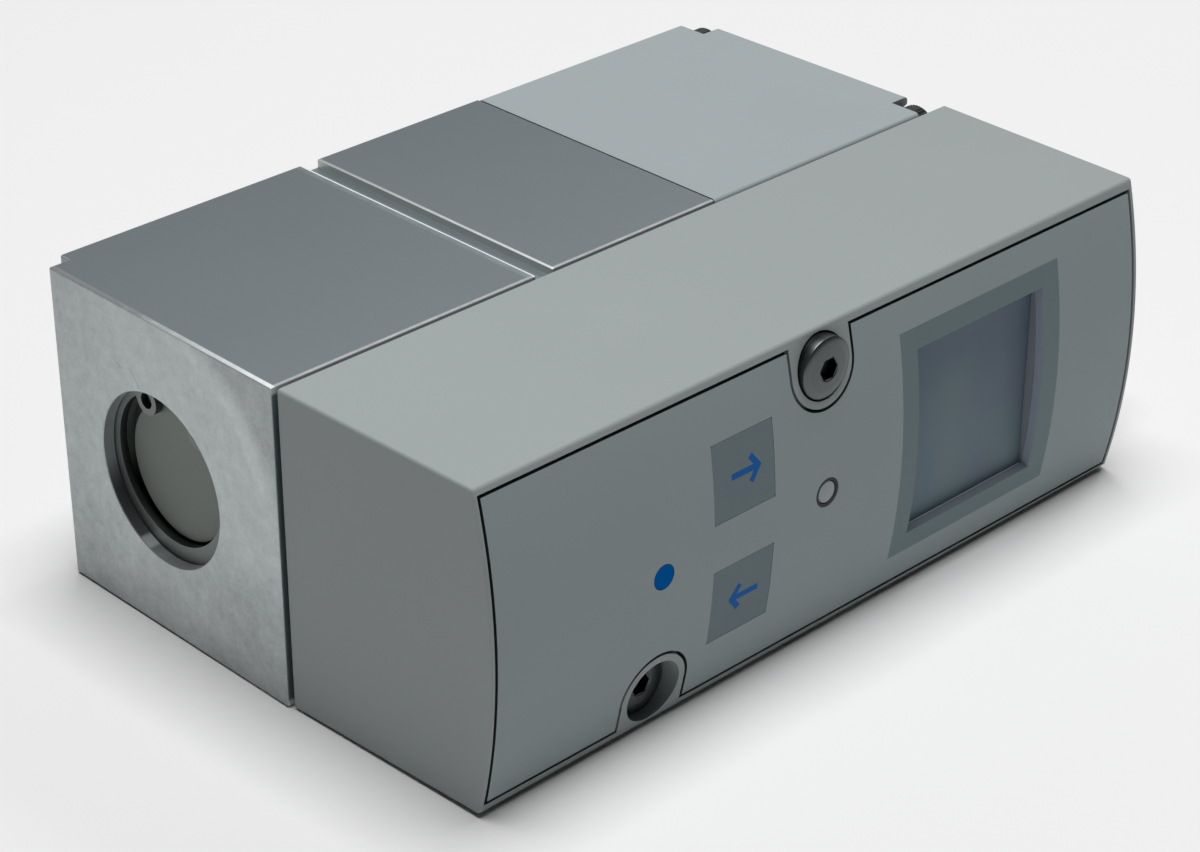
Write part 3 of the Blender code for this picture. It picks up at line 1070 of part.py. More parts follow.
def make_pilot_cover():
    ys = (VALVE_FRONT_Y, VALVE_BACK_Y)
    plan = [(COVER_X, ys[0]), (COVER_END_X, ys[0]), (COVER_END_X - COVER_END_SLOPE, ys[1]), (COVER_X, ys[1])]
    bm = prism([(x, y, 0.0) for x, y in plan], (0.0, 0.0, WIDTH))
    edges = [e for e in square_edges(bm) if max(v.co.x for v in e.verts) > COVER_END_X - COVER_SEAT_DEPTH]
    bevel(bm, edges, COVER_EDGE, 2)
    cover = add_piece("pilot_cover", bm, COVER_GREY)
    cover_end = COVER_END_X + OVERCUT
    for number, (seat, y, z) in enumerate(cover_screw_places(), 1):
        y_span = (ys[0] - OVERCUT, ys[0] + COVER_SEAT_Y) if y < BORE_Y else (ys[1] - COVER_SEAT_Y, ys[1] + OVERCUT)
        z_span = (-OVERCUT, COVER_SEAT_Z) if z < MID_Z else (WIDTH - COVER_SEAT_Z, WIDTH + OVERCUT)
        corner = add_cutter(f"cut_cover_corner_{number}", block((seat, cover_end), y_span, z_span))
        combine(cover, corner)
        pocket = rod(M3_HEAD_RADIUS + SEAT_GAP, (seat, cover_end), (0.0, y, z), "X", SCREW_FACETS)
        combine(corner, add_cutter(f"join_head_pocket_{number}", pocket), "UNION")
    depth = COVER_END_X - COVER_END_SLOPE - COVER_WALL - COVER_X
    cavity = prism([(COVER_X - OVERCUT, y, z) for y, z in cavity_outline(0.0)], (depth + OVERCUT, 0.0, 0.0))
    combine(cover, add_cutter("cut_cover_cavity", cavity))
    holes = [rod(M3_HOLE_RADIUS, (COVER_X - OVERCUT, seat + OVERCUT), (0.0, y, z), "X", FINE_FACETS)
             for seat, y, z in cover_screw_places()]
    combine(cover, add_cutter("cut_cover_holes", merged(holes)))


def pilot_places():
    return [("fill", BORE_Y - PILOT_OFFSET_Y), ("vent", BORE_Y + PILOT_OFFSET_Y)]


def make_pilot_stage():
    # The base closes the cylinder, each pilot valve opens a nozzle on it with its armature.
    outline = [(PILOT_BASE_X, y, z) for y, z in cavity_outline(SEAT_GAP)]
    base = add_piece("pilot_base", prism(outline, (PILOT_BASE_THICKNESS, 0.0, 0.0)), TURNED_METAL)
    nozzles = []
    holes = []
    for _, y in pilot_places():
        top = PILOT_BASE_END_X + NOZZLE_HEIGHT
        low = PILOT_BASE_END_X - PILOT_BASE_THICKNESS / 2
        profile = [(low, 0.0), (low, NOZZLE_RADIUS + NOZZLE_HEIGHT), (PILOT_BASE_END_X, NOZZLE_RADIUS + NOZZLE_HEIGHT),
                   (top, NOZZLE_RADIUS), (top, 0.0)]
        nozzles.append(turned(profile, (0.0, y, MID_Z), "X", SMALL_FACETS))
        holes.append(rod(NOZZLE_HOLE_RADIUS, (PILOT_BASE_X - OVERCUT, top + OVERCUT), (0.0, y, MID_Z), "X", FINE_FACETS))
    combine(base, add_cutter("join_nozzles", merged(nozzles)), "UNION")
    combine(base, add_cutter("cut_nozzle_holes", merged(holes)))
    for job, y in pilot_places():
        make_pilot_valve(job, y)


def make_pilot_valve(job, y):
    axis = (0.0, y, MID_Z)
    bore_radius = ARMATURE_RADIUS + ARMATURE_GAP
    end = PILOT_X + PILOT_LENGTH
    bm = block((PILOT_X, end), centred(y, PILOT_WIDTH), centred(MID_Z, PILOT_HEIGHT))
    bevel(bm, [e for e in square_edges(bm) if max(v.co.x for v in e.verts) > PILOT_X + PILOT_EDGE], PILOT_EDGE, 2)
    valve = add_piece("pilot_valve_" + job, bm, COIL_BLUE)
    bore_end = PILOT_X + ARMATURE_BORE_DEPTH
    combine(valve, add_cutter("cut_armature_bore_" + job,
            rod(bore_radius, (PILOT_X - OVERCUT, bore_end), axis, "X", SMALL_FACETS)))
    edge = METAL_CHAMFER
    back = ARMATURE_X + ARMATURE_LENGTH
    profile = [(ARMATURE_X, 0.0), (ARMATURE_X, ARMATURE_RADIUS - edge), (ARMATURE_X + edge, ARMATURE_RADIUS),
               (back - edge, ARMATURE_RADIUS), (back, ARMATURE_RADIUS - edge), (back, 0.0)]
    add_piece("armature_" + job, turned(profile, axis, "X", SMALL_FACETS), PLATED_STEEL, (ARMATURE_X, y, MID_Z))
    coil = spring(PILOT_SPRING_COIL, PILOT_SPRING_WIRE, back + SEAT_GAP, bore_end - SEAT_GAP,
                  PILOT_SPRING_TURNS, axis)
    add_piece("armature_spring_" + job, coil, PLATED_STEEL)


def build():
    clear_scene()
    make_frame()
    make_housing()
    make_panel()
    make_display()
    make_square_key("key_up", UPPER_KEY_Z)
    make_square_key("key_down", LOWER_KEY_Z)
    make_edit_key()
    make_light_pipe()
    make_electronics()
    make_back_plate()
    make_connector()
    make_fixing_screw("fixing_screw_upper", UPPER_SCREW, UPPER_HEAD_TOP_Y)
    make_fixing_screw("fixing_screw_lower", LOWER_SCREW, LOWER_HEAD_TOP_Y)
    make_valve_body()
    make_regulating_body()
    make_retaining_ring()
    make_end_plug()
    make_poppet()
    make_piston()
    make_port_seals()
    make_pilot_cover()
    for number, (seat, y, z) in enumerate(cover_screw_places(), 1):
        head_end = seat + JOINT_GAP + M3_HEAD_HEIGHT
        make_m3_screw(f"cover_screw_{number}", (y, z), head_end, COVER_SCREW_LENGTH, SMALL_FACETS)
    for number, at in enumerate(body_screw_places(), 1):
        make_m3_screw(f"body_screw_{number}", at, REGULATING_BODY_END_X - SEAT_GAP, BODY_SCREW_LENGTH, FINE_FACETS)
    make_pilot_stage()


build()
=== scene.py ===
import math

import bpy
from mathutils import Matrix, Vector


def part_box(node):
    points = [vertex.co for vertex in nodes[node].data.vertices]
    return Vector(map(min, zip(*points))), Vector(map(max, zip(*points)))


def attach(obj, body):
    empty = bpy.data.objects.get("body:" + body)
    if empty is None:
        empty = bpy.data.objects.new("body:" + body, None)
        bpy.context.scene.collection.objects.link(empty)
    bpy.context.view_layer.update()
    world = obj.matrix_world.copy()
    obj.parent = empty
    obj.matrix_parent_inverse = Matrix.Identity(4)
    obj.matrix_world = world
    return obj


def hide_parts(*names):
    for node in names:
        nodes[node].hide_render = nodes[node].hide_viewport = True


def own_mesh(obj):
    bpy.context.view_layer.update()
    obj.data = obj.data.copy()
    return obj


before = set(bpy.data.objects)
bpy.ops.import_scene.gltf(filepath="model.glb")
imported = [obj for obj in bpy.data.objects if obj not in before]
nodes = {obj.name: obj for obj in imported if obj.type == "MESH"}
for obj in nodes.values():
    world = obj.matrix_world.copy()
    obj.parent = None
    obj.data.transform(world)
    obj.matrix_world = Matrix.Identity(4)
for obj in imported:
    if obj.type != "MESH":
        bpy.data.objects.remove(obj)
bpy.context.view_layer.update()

mm = 0.001

# The drawing's zero: the near lower corner of the housing, where the front's edge meets its end.
# x runs to the connector, y back to the port face, z up. All sizes below are in millimetres.
front = {"bow": 2.6, "draftNear": 1.1, "draftFar": 0.05, "draftSide": 0.3}
housingLow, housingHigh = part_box("front_housing")
blockLow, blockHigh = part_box("valve_body")
innerLow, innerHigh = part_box("regulating_body")
origin = housingLow + Vector((0, front["bow"] * mm, 0))
length = (housingHigh.x - origin.x) / mm
depth = (housingHigh.y - origin.y) / mm
width = (housingHigh.z - origin.z) / mm
metalFront = (blockLow.y - origin.y) / mm
metalBack = (blockHigh.y - origin.y) / mm
half = width / 2
boreY = metalFront + 22.1
plugY = 15.5
boreCentre = (boreY, half)
bowRadius = ((half - front["draftSide"]) ** 2 + front["bow"] ** 2) / (2 * front["bow"])
beyond = 3  # how far a cutter reaches past what it cuts
face = -front["bow"]


def point(x, y, z):
    return origin + Vector((x, y, z)) * mm


def onAxis(axis, along, centre):
    # centre is (y, z) for an axis along x, and (x, z) for one along y.
    return point(along, *centre) if axis == "X" else point(centre[0], along, centre[1])


def drawn(place):
    return (place - origin) / mm


# modelling helpers

turnTo = {"X": (0, math.pi / 2, 0), "Y": (-math.pi / 2, 0, 0)}
alongAxis = {"X": Vector((1, 0, 0)), "Y": Vector((0, 1, 0))}


def onlySelect(piece):
    bpy.ops.object.select_all(action="DESELECT")
    piece.select_set(True)
    bpy.context.view_layer.objects.active = piece


def settle(name):
    piece = bpy.context.object
    piece.name = piece.data.name = name
    bpy.ops.object.transform_apply(location=True, rotation=True, scale=True)
    return piece


def addBlock(name, low, high):
    bpy.ops.object.select_all(action="DESELECT")
    bpy.ops.mesh.primitive_cube_add(size=1, location=(point(*low) + point(*high)) / 2)
    bpy.context.object.scale = point(*high) - point(*low)
    return settle(name)


def addPlan(name, low, high, grow=0.0, start=-8, end=8):
    # A block by its plan as seen from the front: low and high are (x, z).
    return addBlock(name, (low[0] - grow, start, low[1] - grow), (high[0] + grow, end, high[1] + grow))


def addRod(name, radius, start, end, centre, axis="X", sides=96, endRadius=None):
    bpy.ops.object.select_all(action="DESELECT")
    last = radius if endRadius is None else endRadius
    bpy.ops.mesh.primitive_cone_add(vertices=sides, radius1=radius * mm, radius2=last * mm,
                                    depth=(end - start) * mm, rotation=turnTo[axis],
                                    location=onAxis(axis, (start + end) / 2, centre))
    return settle(name)


def copyOf(piece, name, shift):
    # A copy with its own mesh.
    onlySelect(piece)
    bpy.ops.object.duplicate()
    bpy.context.object.location = Vector(shift) * mm
    return settle(name)


def turnAbout(piece, angle, middle, axis="X"):
    onlySelect(piece)
    turn = Matrix.Rotation(angle, 4, axis)
    piece.matrix_world = Matrix.Translation(middle) @ turn @ Matrix.Translation(-middle)
    bpy.ops.object.transform_apply(location=True, rotation=True, scale=True)


def pickEdges(piece, test):
    # Opens the piece in edit mode with just the edges that pass the test selected.
    onlySelect(piece)
    bpy.ops.object.mode_set(mode="EDIT")
    bpy.ops.mesh.select_mode(type="EDGE")
    bpy.ops.mesh.select_all(action="DESELECT")
    bpy.ops.object.mode_set(mode="OBJECT")
    for edge in piece.data.edges:
        a, b = (drawn(piece.data.vertices[i].co) for i in edge.vertices)
        edge.select = bool(test(a, b))
    bpy.ops.object.mode_set(mode="EDIT")


def moveEdges(piece, test, by):
    pickEdges(piece, test)
    bpy.ops.transform.translate(value=Vector(by) * mm)
    bpy.ops.object.mode_set(mode="OBJECT")


def bevelEdges(piece, test, size, segments):
    pickEdges(piece, test)
    bpy.ops.mesh.bevel(offset=size * mm, segments=segments, profile=0.5, affect="EDGES", clamp_overlap=False)
    bpy.ops.object.mode_set(mode="OBJECT")


def useModifier(piece, kind, **settings):
    onlySelect(piece)
    modifier = piece.modifiers.new(kind.lower(), kind)
    for key, value in settings.items():
        setattr(modifier, key, value)
    bpy.ops.object.modifier_apply(modifier=modifier.name)


def softenEdges(piece, size, angle=60):
    useModifier(piece, "BEVEL", width=size * mm, segments=2, limit_method="ANGLE",
                angle_limit=math.radians(angle), use_clamp_overlap=True)


def cut(piece, *tools, how="DIFFERENCE"):
    for tool in tools:
        useModifier(piece, "BOOLEAN", operation=how, solver="EXACT", object=tool)
        bpy.data.objects.remove(tool)
    return piece


def unite(name, first, *others):
    # Separate closed bodies kept in one object.
    onlySelect(first)
    for other in others:
        other.select_set(True)
    bpy.ops.object.join()
    first.name = first.data.name = name
    return first


def mergeDoubles():
    bpy.ops.object.mode_set(mode="EDIT")
    bpy.ops.mesh.select_all(action="SELECT")
    bpy.ops.mesh.remove_doubles(threshold=2e-6)


def turnOut():
    bpy.ops.mesh.select_all(action="SELECT")
    bpy.ops.mesh.normals_make_consistent(inside=False)
    bpy.ops.object.mode_set(mode="OBJECT")


def drawProfile(points, start, along, across):
    # A vertex is set down and extruded from point to point; points are (along, radius).
    bpy.ops.object.select_all(action="DESELECT")
    a0, r0 = points[0]
    bpy.ops.mesh.primitive_plane_add(size=mm, location=start + (along * a0 + across * r0) * mm)
    bpy.ops.object.transform_apply(location=True, rotation=True, scale=True)
    bpy.ops.object.mode_set(mode="EDIT")
    bpy.ops.mesh.select_mode(type="VERT")
    bpy.ops.mesh.select_all(action="SELECT")
    bpy.ops.mesh.merge(type="CENTER")
    for (a1, r1), (a2, r2) in zip(points, points[1:]):
        step = (along * (a2 - a1) + across * (r2 - r1)) * mm
        bpy.ops.mesh.extrude_vertices_move(TRANSFORM_OT_translate={"value": step})
    bpy.ops.mesh.select_all(action="SELECT")


def addTurned(name, points, centre, axis="X", sides=96):
    start = onAxis(axis, 0, centre)
    drawProfile(points, start, alongAxis[axis], Vector((0, 0, 1)))
    bpy.ops.mesh.spin(steps=sides, angle=math.tau, center=start, axis=alongAxis[axis])
    mergeDoubles()
    turnOut()
    return settle(name)


def addThread(name, core, crest, pitch, start, end, centre, axis):
    # One pitch of the flank is drawn at the world's zero, wound up, put in place and cut square.
    flank = [(0, core), (0.1, core), (0.45, crest), (0.55, crest), (0.9, core), (1, core)]
    drawProfile([(along * pitch, radius) for along, radius in flank], Vector((0, 0, 0)), Vector((0, 0, 1)),
                Vector((1, 0, 0)))
    bpy.ops.object.mode_set(mode="OBJECT")
    useModifier(bpy.context.object, "SCREW", axis="Z", screw_offset=pitch * mm, angle=math.tau,
                iterations=math.ceil((end - start) / pitch) + 2, steps=40, render_steps=40)
    bpy.context.object.rotation_euler = turnTo[axis]
    bpy.context.object.location = onAxis(axis, start - pitch, centre)
    piece = settle(name)
    mergeDoubles()
    for place, side in ((start, {"clear_inner": True}), (end, {"clear_outer": True})):
        bpy.ops.mesh.select_all(action="SELECT")
        bpy.ops.mesh.bisect(plane_co=onAxis(axis, place, centre), plane_no=alongAxis[axis],
                            use_fill=True, **side)
    turnOut()
    return piece


def bowRod(depthBelow):
    # A large roller whose side is the bowed front, or a surface that far below it.
    return addRod("bow", bowRadius - depthBelow, -10, length + 10, (bowRadius + face, half), "X", 318)


def addTongue(name, radius, centre, reach=8.0):
    # A screw tab's plan: a rod whose outer half is drawn out past the long side of the front.
    side = 1 if centre[1] > half else -1
    piece = addRod(name, radius, -9, 9, centre, "Y", 96)
    moveEdges(piece, lambda a, b: abs(a.y - b.y) > 1 and (a.z - centre[1]) * side > 0.01, (0, 0, side * reach))
    return piece


def finish(piece, material, slot, *replaced, body="regulator", angle=30):
    onlySelect(piece)
    bpy.ops.object.shade_smooth_by_angle(angle=math.radians(angle))
    useModifier(piece, "WEIGHTED_NORMAL", keep_sharp=True)
    piece.data.materials.clear()
    piece.data.materials.append(material)
    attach(piece, body)
    if replaced:
        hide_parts(*replaced)


# shader helpers

shaderSockets = {"colour": "Base Color", "rough": "Roughness", "metal": "Metallic", "normal": "Normal",
                 "specular": "Specular IOR Level"}


class Flow:
    # A socket that can be reckoned with: each operator adds its Math node.
    def __init__(self, shade, socket):
        self.shade = shade
        self.socket = socket

    def join(self, operation, *values):
        return self.shade.add("ShaderNodeMath", {"operation": operation}, dict(enumerate((self, *values))))

    def __add__(self, other):
        return self.join("ADD", other)

    __radd__ = __add__

    def __sub__(self, other):
        return self.join("SUBTRACT", other)

    def __rsub__(self, other):
        return self.join("MULTIPLY", -1.0).join("ADD", other)

    def __mul__(self, other):
        return self.join("MULTIPLY", other)

    __rmul__ = __mul__

    def __truediv__(self, other):
        return self.join("DIVIDE", other)

    def __pow__(self, other):
        return self.join("POWER", other)

    def most(self, other):
        return self.join("MAXIMUM", other)

    def size(self):
        return self.join("ABSOLUTE")

    def over(self, edge, soft):
        # 1 where the value is above the edge, 0 below it.
        return self.shade.add("ShaderNodeMath", {"operation": "ADD", "use_clamp": True},
                              {0: (self - edge) / soft, 1: 0.5})

    def under(self, edge, soft):
        return 1.0 - self.over(edge, soft)


class Shade:
    def __init__(self, name, **fixed):
        self.material = bpy.data.materials.new(name)
        self.material.use_nodes = True
        self.tree = self.material.node_tree
        self.body = self.tree.nodes["Principled BSDF"]
        coordinates = self.add("ShaderNodeTexCoord", {}, {}, "Object")
        self.place = self.add("ShaderNodeMapping", {}, {"Vector": coordinates, "Location": -origin / mm,
                                                        "Scale": (1 / mm, 1 / mm, 1 / mm)})
        split = self.add("ShaderNodeSeparateXYZ", {}, {"Vector": self.place}).socket.node
        self.x, self.y, self.z = (Flow(self, socket) for socket in split.outputs)
        self.wear(**fixed)

    def add(self, kind, settings, inputs, output=0):
        node = self.tree.nodes.new(kind)
        for key, value in settings.items():
            setattr(node, key, value)
        for key, value in inputs.items():
            self.feed(node.inputs[key], value)
        return Flow(self, node.outputs[output])

    def feed(self, socket, value):
        # What varies is linked; a number or colour goes straight onto the socket.
        if isinstance(value, Flow):
            self.tree.links.new(value.socket, socket)
        elif socket.type == "RGBA" and len(value) == 3:
            socket.default_value = (*value, 1.0)
        else:
            socket.default_value = value

    def wear(self, **values):
        for key, value in values.items():
            self.feed(self.body.inputs[shaderSockets[key]], value)
        return self.material

    def normalPart(self, axis):
        normal = self.add("ShaderNodeTexCoord", {}, {}, "Normal")
        split = self.add("ShaderNodeSeparateXYZ", {}, {"Vector": normal}).socket.node
        return Flow(self, split.outputs["XYZ".index(axis)])

    def noise(self, size, detail=2.0, roughness=0.5, stretch=(1, 1, 1), shift=(0, 0, 0)):
        # size is the width of the blotches in millimetres, stretch makes them longer along an axis.
        scale = tuple(1.0 / (size * s) for s in stretch)
        place = self.add("ShaderNodeMapping", {}, {"Vector": self.place, "Scale": scale, "Location": shift})
        return self.add("ShaderNodeTexNoise", {}, {"Vector": place, "Scale": 1.0, "Detail": detail,
                                                   "Roughness": roughness}, "Fac")

    def mix(self, factor, first, second):
        return self.add("ShaderNodeMix", {"data_type": "RGBA"}, {0: factor, 6: first, 7: second}, 2)

    def tone(self, colour, factor):
        # A colour made lighter or darker by a number that varies.
        grey = self.add("ShaderNodeCombineXYZ", {}, {0: factor, 1: factor, 2: factor})
        return self.add("ShaderNodeMix", {"data_type": "RGBA", "blend_type": "MULTIPLY"},
                        {0: 1.0, 6: colour, 7: grey}, 2)

    def bump(self, height, distance):
        # distance is the height in millimetres that 1 stands for.
        return self.add("ShaderNodeBump", {}, {"Height": height, "Distance": distance * mm, "Strength": 1.0})


def seen(red, green, blue):
    # A colour as read on screen, 0 to 255, as light.
    def light(v):
        v = v / 255
        return v / 12.92 if v <= 0.04045 else ((v + 0.055) / 1.055) ** 2.4
    return (light(red), light(green), light(blue))


print("scene: frame loaded")


# materials

# Colours of the moulded and printed surfaces, as light
paint = {"housing": (0.314, 0.347, 0.346), "panel": (0.280, 0.330, 0.340), "border": (0.131, 0.190, 0.200),
         "key": (0.171, 0.217, 0.232), "blue": (0.001, 0.112, 0.40), "black": (0.010, 0.011, 0.012),
         "cover": (0.316, 0.356, 0.366)}


def mouldedPlastic(name, colour, grain=0.35, grainDepth=0.012, paintedFalloff=0.0):
    # Fine spark-eroded grain, and a faint cloud of lighter and darker areas; the surface can also get darker
    # per mm along x, painted shade towards the connector end.
    shade = Shade(name, specular=0.4)
    fine = shade.noise(grain, 3.0, 0.6)
    cloud = shade.noise(22, 2.0)
    speck = shade.noise(0.12, 1.0)
    tone = 0.955 + cloud * 0.05 + fine * 0.03 + speck * 0.02 - shade.x * paintedFalloff
    return shade.wear(colour=shade.tone(colour, tone), rough=0.56 + fine * 0.12,
                      normal=shade.bump(fine * 0.7 + speck * 0.3, grainDepth))


def lineMask(shade, a, b, start, end, stroke, soft=0.06):
    # 1 on a straight stroke between two points of the (a, b) plane.
    dx, dy = end[0] - start[0], end[1] - start[1]
    reach = math.hypot(dx, dy)
    ux, uy = dx / reach, dy / reach
    alongStroke = (a - start[0]) * ux + (b - start[1]) * uy
    acrossStroke = ((b - start[1]) * ux - (a - start[0]) * uy).size()
    lengthPart = (alongStroke - reach / 2).size().under(reach / 2, soft)
    return lengthPart * acrossStroke.under(stroke / 2, soft)


def boxMask(shade, low, high, soft=0.05):
    # 1 inside a rectangle of the front, from low to high, both (x, z).
    xPart = (shade.x - (low[0] + high[0]) / 2).size().under((high[0] - low[0]) / 2, soft)
    zPart = (shade.z - (low[1] + high[1]) / 2).size().under((high[1] - low[1]) / 2, soft)
    return xPart * zPart


printed = {"border": ((67.05, 5.5), (96.3, 36.3)), "opening": ((69.5, 7.8), (93.6, 33.9)),
           "ringCentre": (53.85, 20.95), "ringOuter": 1.9, "ringStroke": 0.5}


def panelPlastic():
    shade = Shade("panelPlastic", specular=0.35)
    fine = shade.noise(0.3, 2.0, 0.5)
    cloud = shade.noise(16, 2.0)
    # the tone rises towards the bottom edge: painted light bounced up from the floor
    tone = 0.965 + cloud * 0.05 + fine * 0.02 + shade.z.under(7.0, 9.0) * 0.07
    border = boxMask(shade, *printed["border"])
    # the dark ring round the status light
    dx, dz = shade.x - printed["ringCentre"][0], shade.z - printed["ringCentre"][1]
    ringDistance = (dx * dx + dz * dz) ** 0.5
    halfStroke = printed["ringStroke"] / 2
    ring = (ringDistance - (printed["ringOuter"] - halfStroke)).size().under(halfStroke, 0.07)
    colour = shade.mix(border, paint["panel"], paint["border"])
    colour = shade.mix(ring, colour, paint["black"])
    # the walls of the openings are dark with painted shade; those of the window are lighter with painted light,
    # most of all on the right
    sideWall = shade.normalPart("Y").size().under(0.5, 0.1)
    inWindow = boxMask(shade, *printed["opening"]) * sideWall
    colour = shade.mix(sideWall, colour, seen(40, 44, 46))
    colour = shade.mix(inWindow, colour, seen(108, 116, 123))
    colour = shade.mix(inWindow * shade.normalPart("X").under(-0.5, 0.2), colour, seen(160, 168, 182))
    return shade.wear(colour=shade.tone(colour, tone), rough=0.5 + fine * 0.1 - border * 0.04,
                      normal=shade.bump(fine, 0.006))


arrow = {"stroke": 0.8, "barb": 1.62, "lean": 0.9, "shaftShort": 0.3, "barbPast": 0.25}


def keyPlastic(name, tail, tip):
    # Matt grey with a printed arrow from tail to tip, both (x, z).
    shade = Shade(name, specular=0.12)
    fine = shade.noise(0.3, 2.0, 0.5)
    tone = 0.96 + shade.noise(6, 2.0) * 0.06 + fine * 0.02
    way = 1.0 if tip[0] > tail[0] else -1.0
    strokes = [(tail, (tip[0] - way * arrow["shaftShort"], tip[1]))]
    for side in (1.0, -1.0):
        foot = (tip[0] - way * arrow["barb"] * arrow["lean"], tip[1] + side * arrow["barb"])
        strokes.append((foot, (tip[0], tip[1] - side * arrow["barbPast"])))
    marks = [lineMask(shade, shade.x, shade.z, *ends, arrow["stroke"]) for ends in strokes]
    colour = shade.mix(marks[0].most(marks[1]).most(marks[2]), paint["key"], paint["blue"])
    return shade.wear(colour=shade.tone(colour, tone), rough=0.52 + fine * 0.08, normal=shade.bump(fine, 0.006))


def plainPlastic(name, colour, roughness=0.5, specular=0.4):
    shade = Shade(name, specular=specular)
    fine = shade.noise(0.25, 2.0, 0.5)
    tone = 0.95 + shade.noise(5, 2.0) * 0.08 + fine * 0.02
    return shade.wear(colour=shade.tone(colour, tone), rough=roughness + fine * 0.08,
                      normal=shade.bump(fine, 0.005))


def displayGlass():
    # A switched-off display under its clear window: soft blue, violet and green streaks.
    shade = Shade("displayGlass", rough=0.45, specular=0.12)
    streak = shade.noise(3.2, 3.0, 0.55, stretch=(0.55, 1, 3.2))
    patch = shade.noise(9, 2.0, 0.5, shift=(3, 0, 7))
    up = (shade.z - 8.2) / 25.3
    across = (shade.x - 69.9) / 23.2
    colour = shade.mix(up.over(0.62, 0.9), (0.158, 0.218, 0.252), (0.122, 0.168, 0.220))
    violet = patch.over(0.54, 0.22) * across.over(0.5, 0.8)
    colour = shade.mix(violet * 0.5, colour, (0.158, 0.165, 0.230))
    blue = streak.over(0.55, 0.2) * across.under(0.45, 0.6) * up.under(0.6, 0.8)
    colour = shade.mix(blue * 0.5, colour, (0.104, 0.175, 0.275))
    # a soft lighter patch in the middle of the switched-off display: painted light
    paintedLightPatch = boxMask(shade, (76, 9), (82, 27), 5.0)
    colour = shade.mix(paintedLightPatch * 0.35, colour, (0.200, 0.275, 0.275))
    return shade.wear(colour=shade.tone(colour, 0.94 + streak * 0.12))


block = {"end": (blockLow.x - origin.x) / mm, "far": (blockHigh.x - origin.x) / mm, "edge": 0.25,
         "innerStart": (innerLow.x - origin.x) / mm, "innerEnd": (innerHigh.x - origin.x) / mm,
         "grooveFloor": 39.3, "grooveEnd": 41.85, "grooveDepth": 1.1, "stepLength": 2.5, "stepDepth": 1.8}

# The bored end's cast-grey face, the light arc on it and two scratches, in millimetres
rawFace = {"tone": 0.84, "arc": 20.7, "arcWidth": 0.8,
           "scratches": (((57.4, 34.2), (55.9, 32.2), 0.14), ((60.1, 34.2), (59.3, 33.6), 0.16))}
# Bright lines along the edges, partly bare metal where the anodising is rubbed off and partly painted
# highlight: how wide, and how much light each gives back
wornAndLitLine = {"front": 0.42, "end": 0.26, "groove": 0.4, "frontTone": 0.5, "grooveTone": 1.0}


def rawFaceTone(shade, away, rise, distance, patches, dust):
    smudge = shade.noise(8.0, 3.0, 0.6, shift=(4, 1, 9))
    upperRight = away.under(-5.0, 5.0) * rise.over(4.0, 8.0)
    arc = (distance - rawFace["arc"]).size().under(rawFace["arcWidth"], 1.2) * upperRight
    sink = ((shade.z + smudge * 10.0) / 30.0).over(0.42, 0.75)
    tone = (rawFace["tone"] + (patches - 0.5) * 0.55 + (smudge - 0.5) * 0.22 + (dust - 0.5) * 0.4
            + arc * 0.09 + sink * 0.25 - away.over(10.0, 10.0) * 0.12
            - distance.over(23.0, 2.0) * upperRight * 0.24
            - away.under(-10.0, 5.0) * rise.under(-6.0, 6.0) * 0.1)
    for start, end, stroke in rawFace["scratches"]:
        tone = tone - lineMask(shade, shade.y, shade.z, start, end, stroke, 0.12) * 0.35
    return tone


def wornAndLitLines(shade, rise, behind):
    # 1 along the blocks' outer edges and both edges of the groove, where bare metal and painted highlight are
    # laid.
    lift = shade.normalPart("Z").size()
    onTop = lift.over(0.3, 0.2) * rise.size().over(half - 0.45, 0.1)
    corner = lift.over(0.3, 0.1) * lift.under(0.975, 0.02)
    end = shade.x.under(wornAndLitLine["end"], 0.12)
    halfLip = wornAndLitLine["groove"] / 2
    near, far = ((shade.x - middle).size().under(halfLip, 0.1)
                 for middle in (block["grooveFloor"] - halfLip, block["grooveEnd"] + halfLip))
    # the far lip's painted highlight fades towards the back
    groove = near.most(far * (0.9 - behind * 0.01))
    return onTop * corner.most(behind.under(wornAndLitLine["front"], 0.12)).most(end).most(groove), groove, end


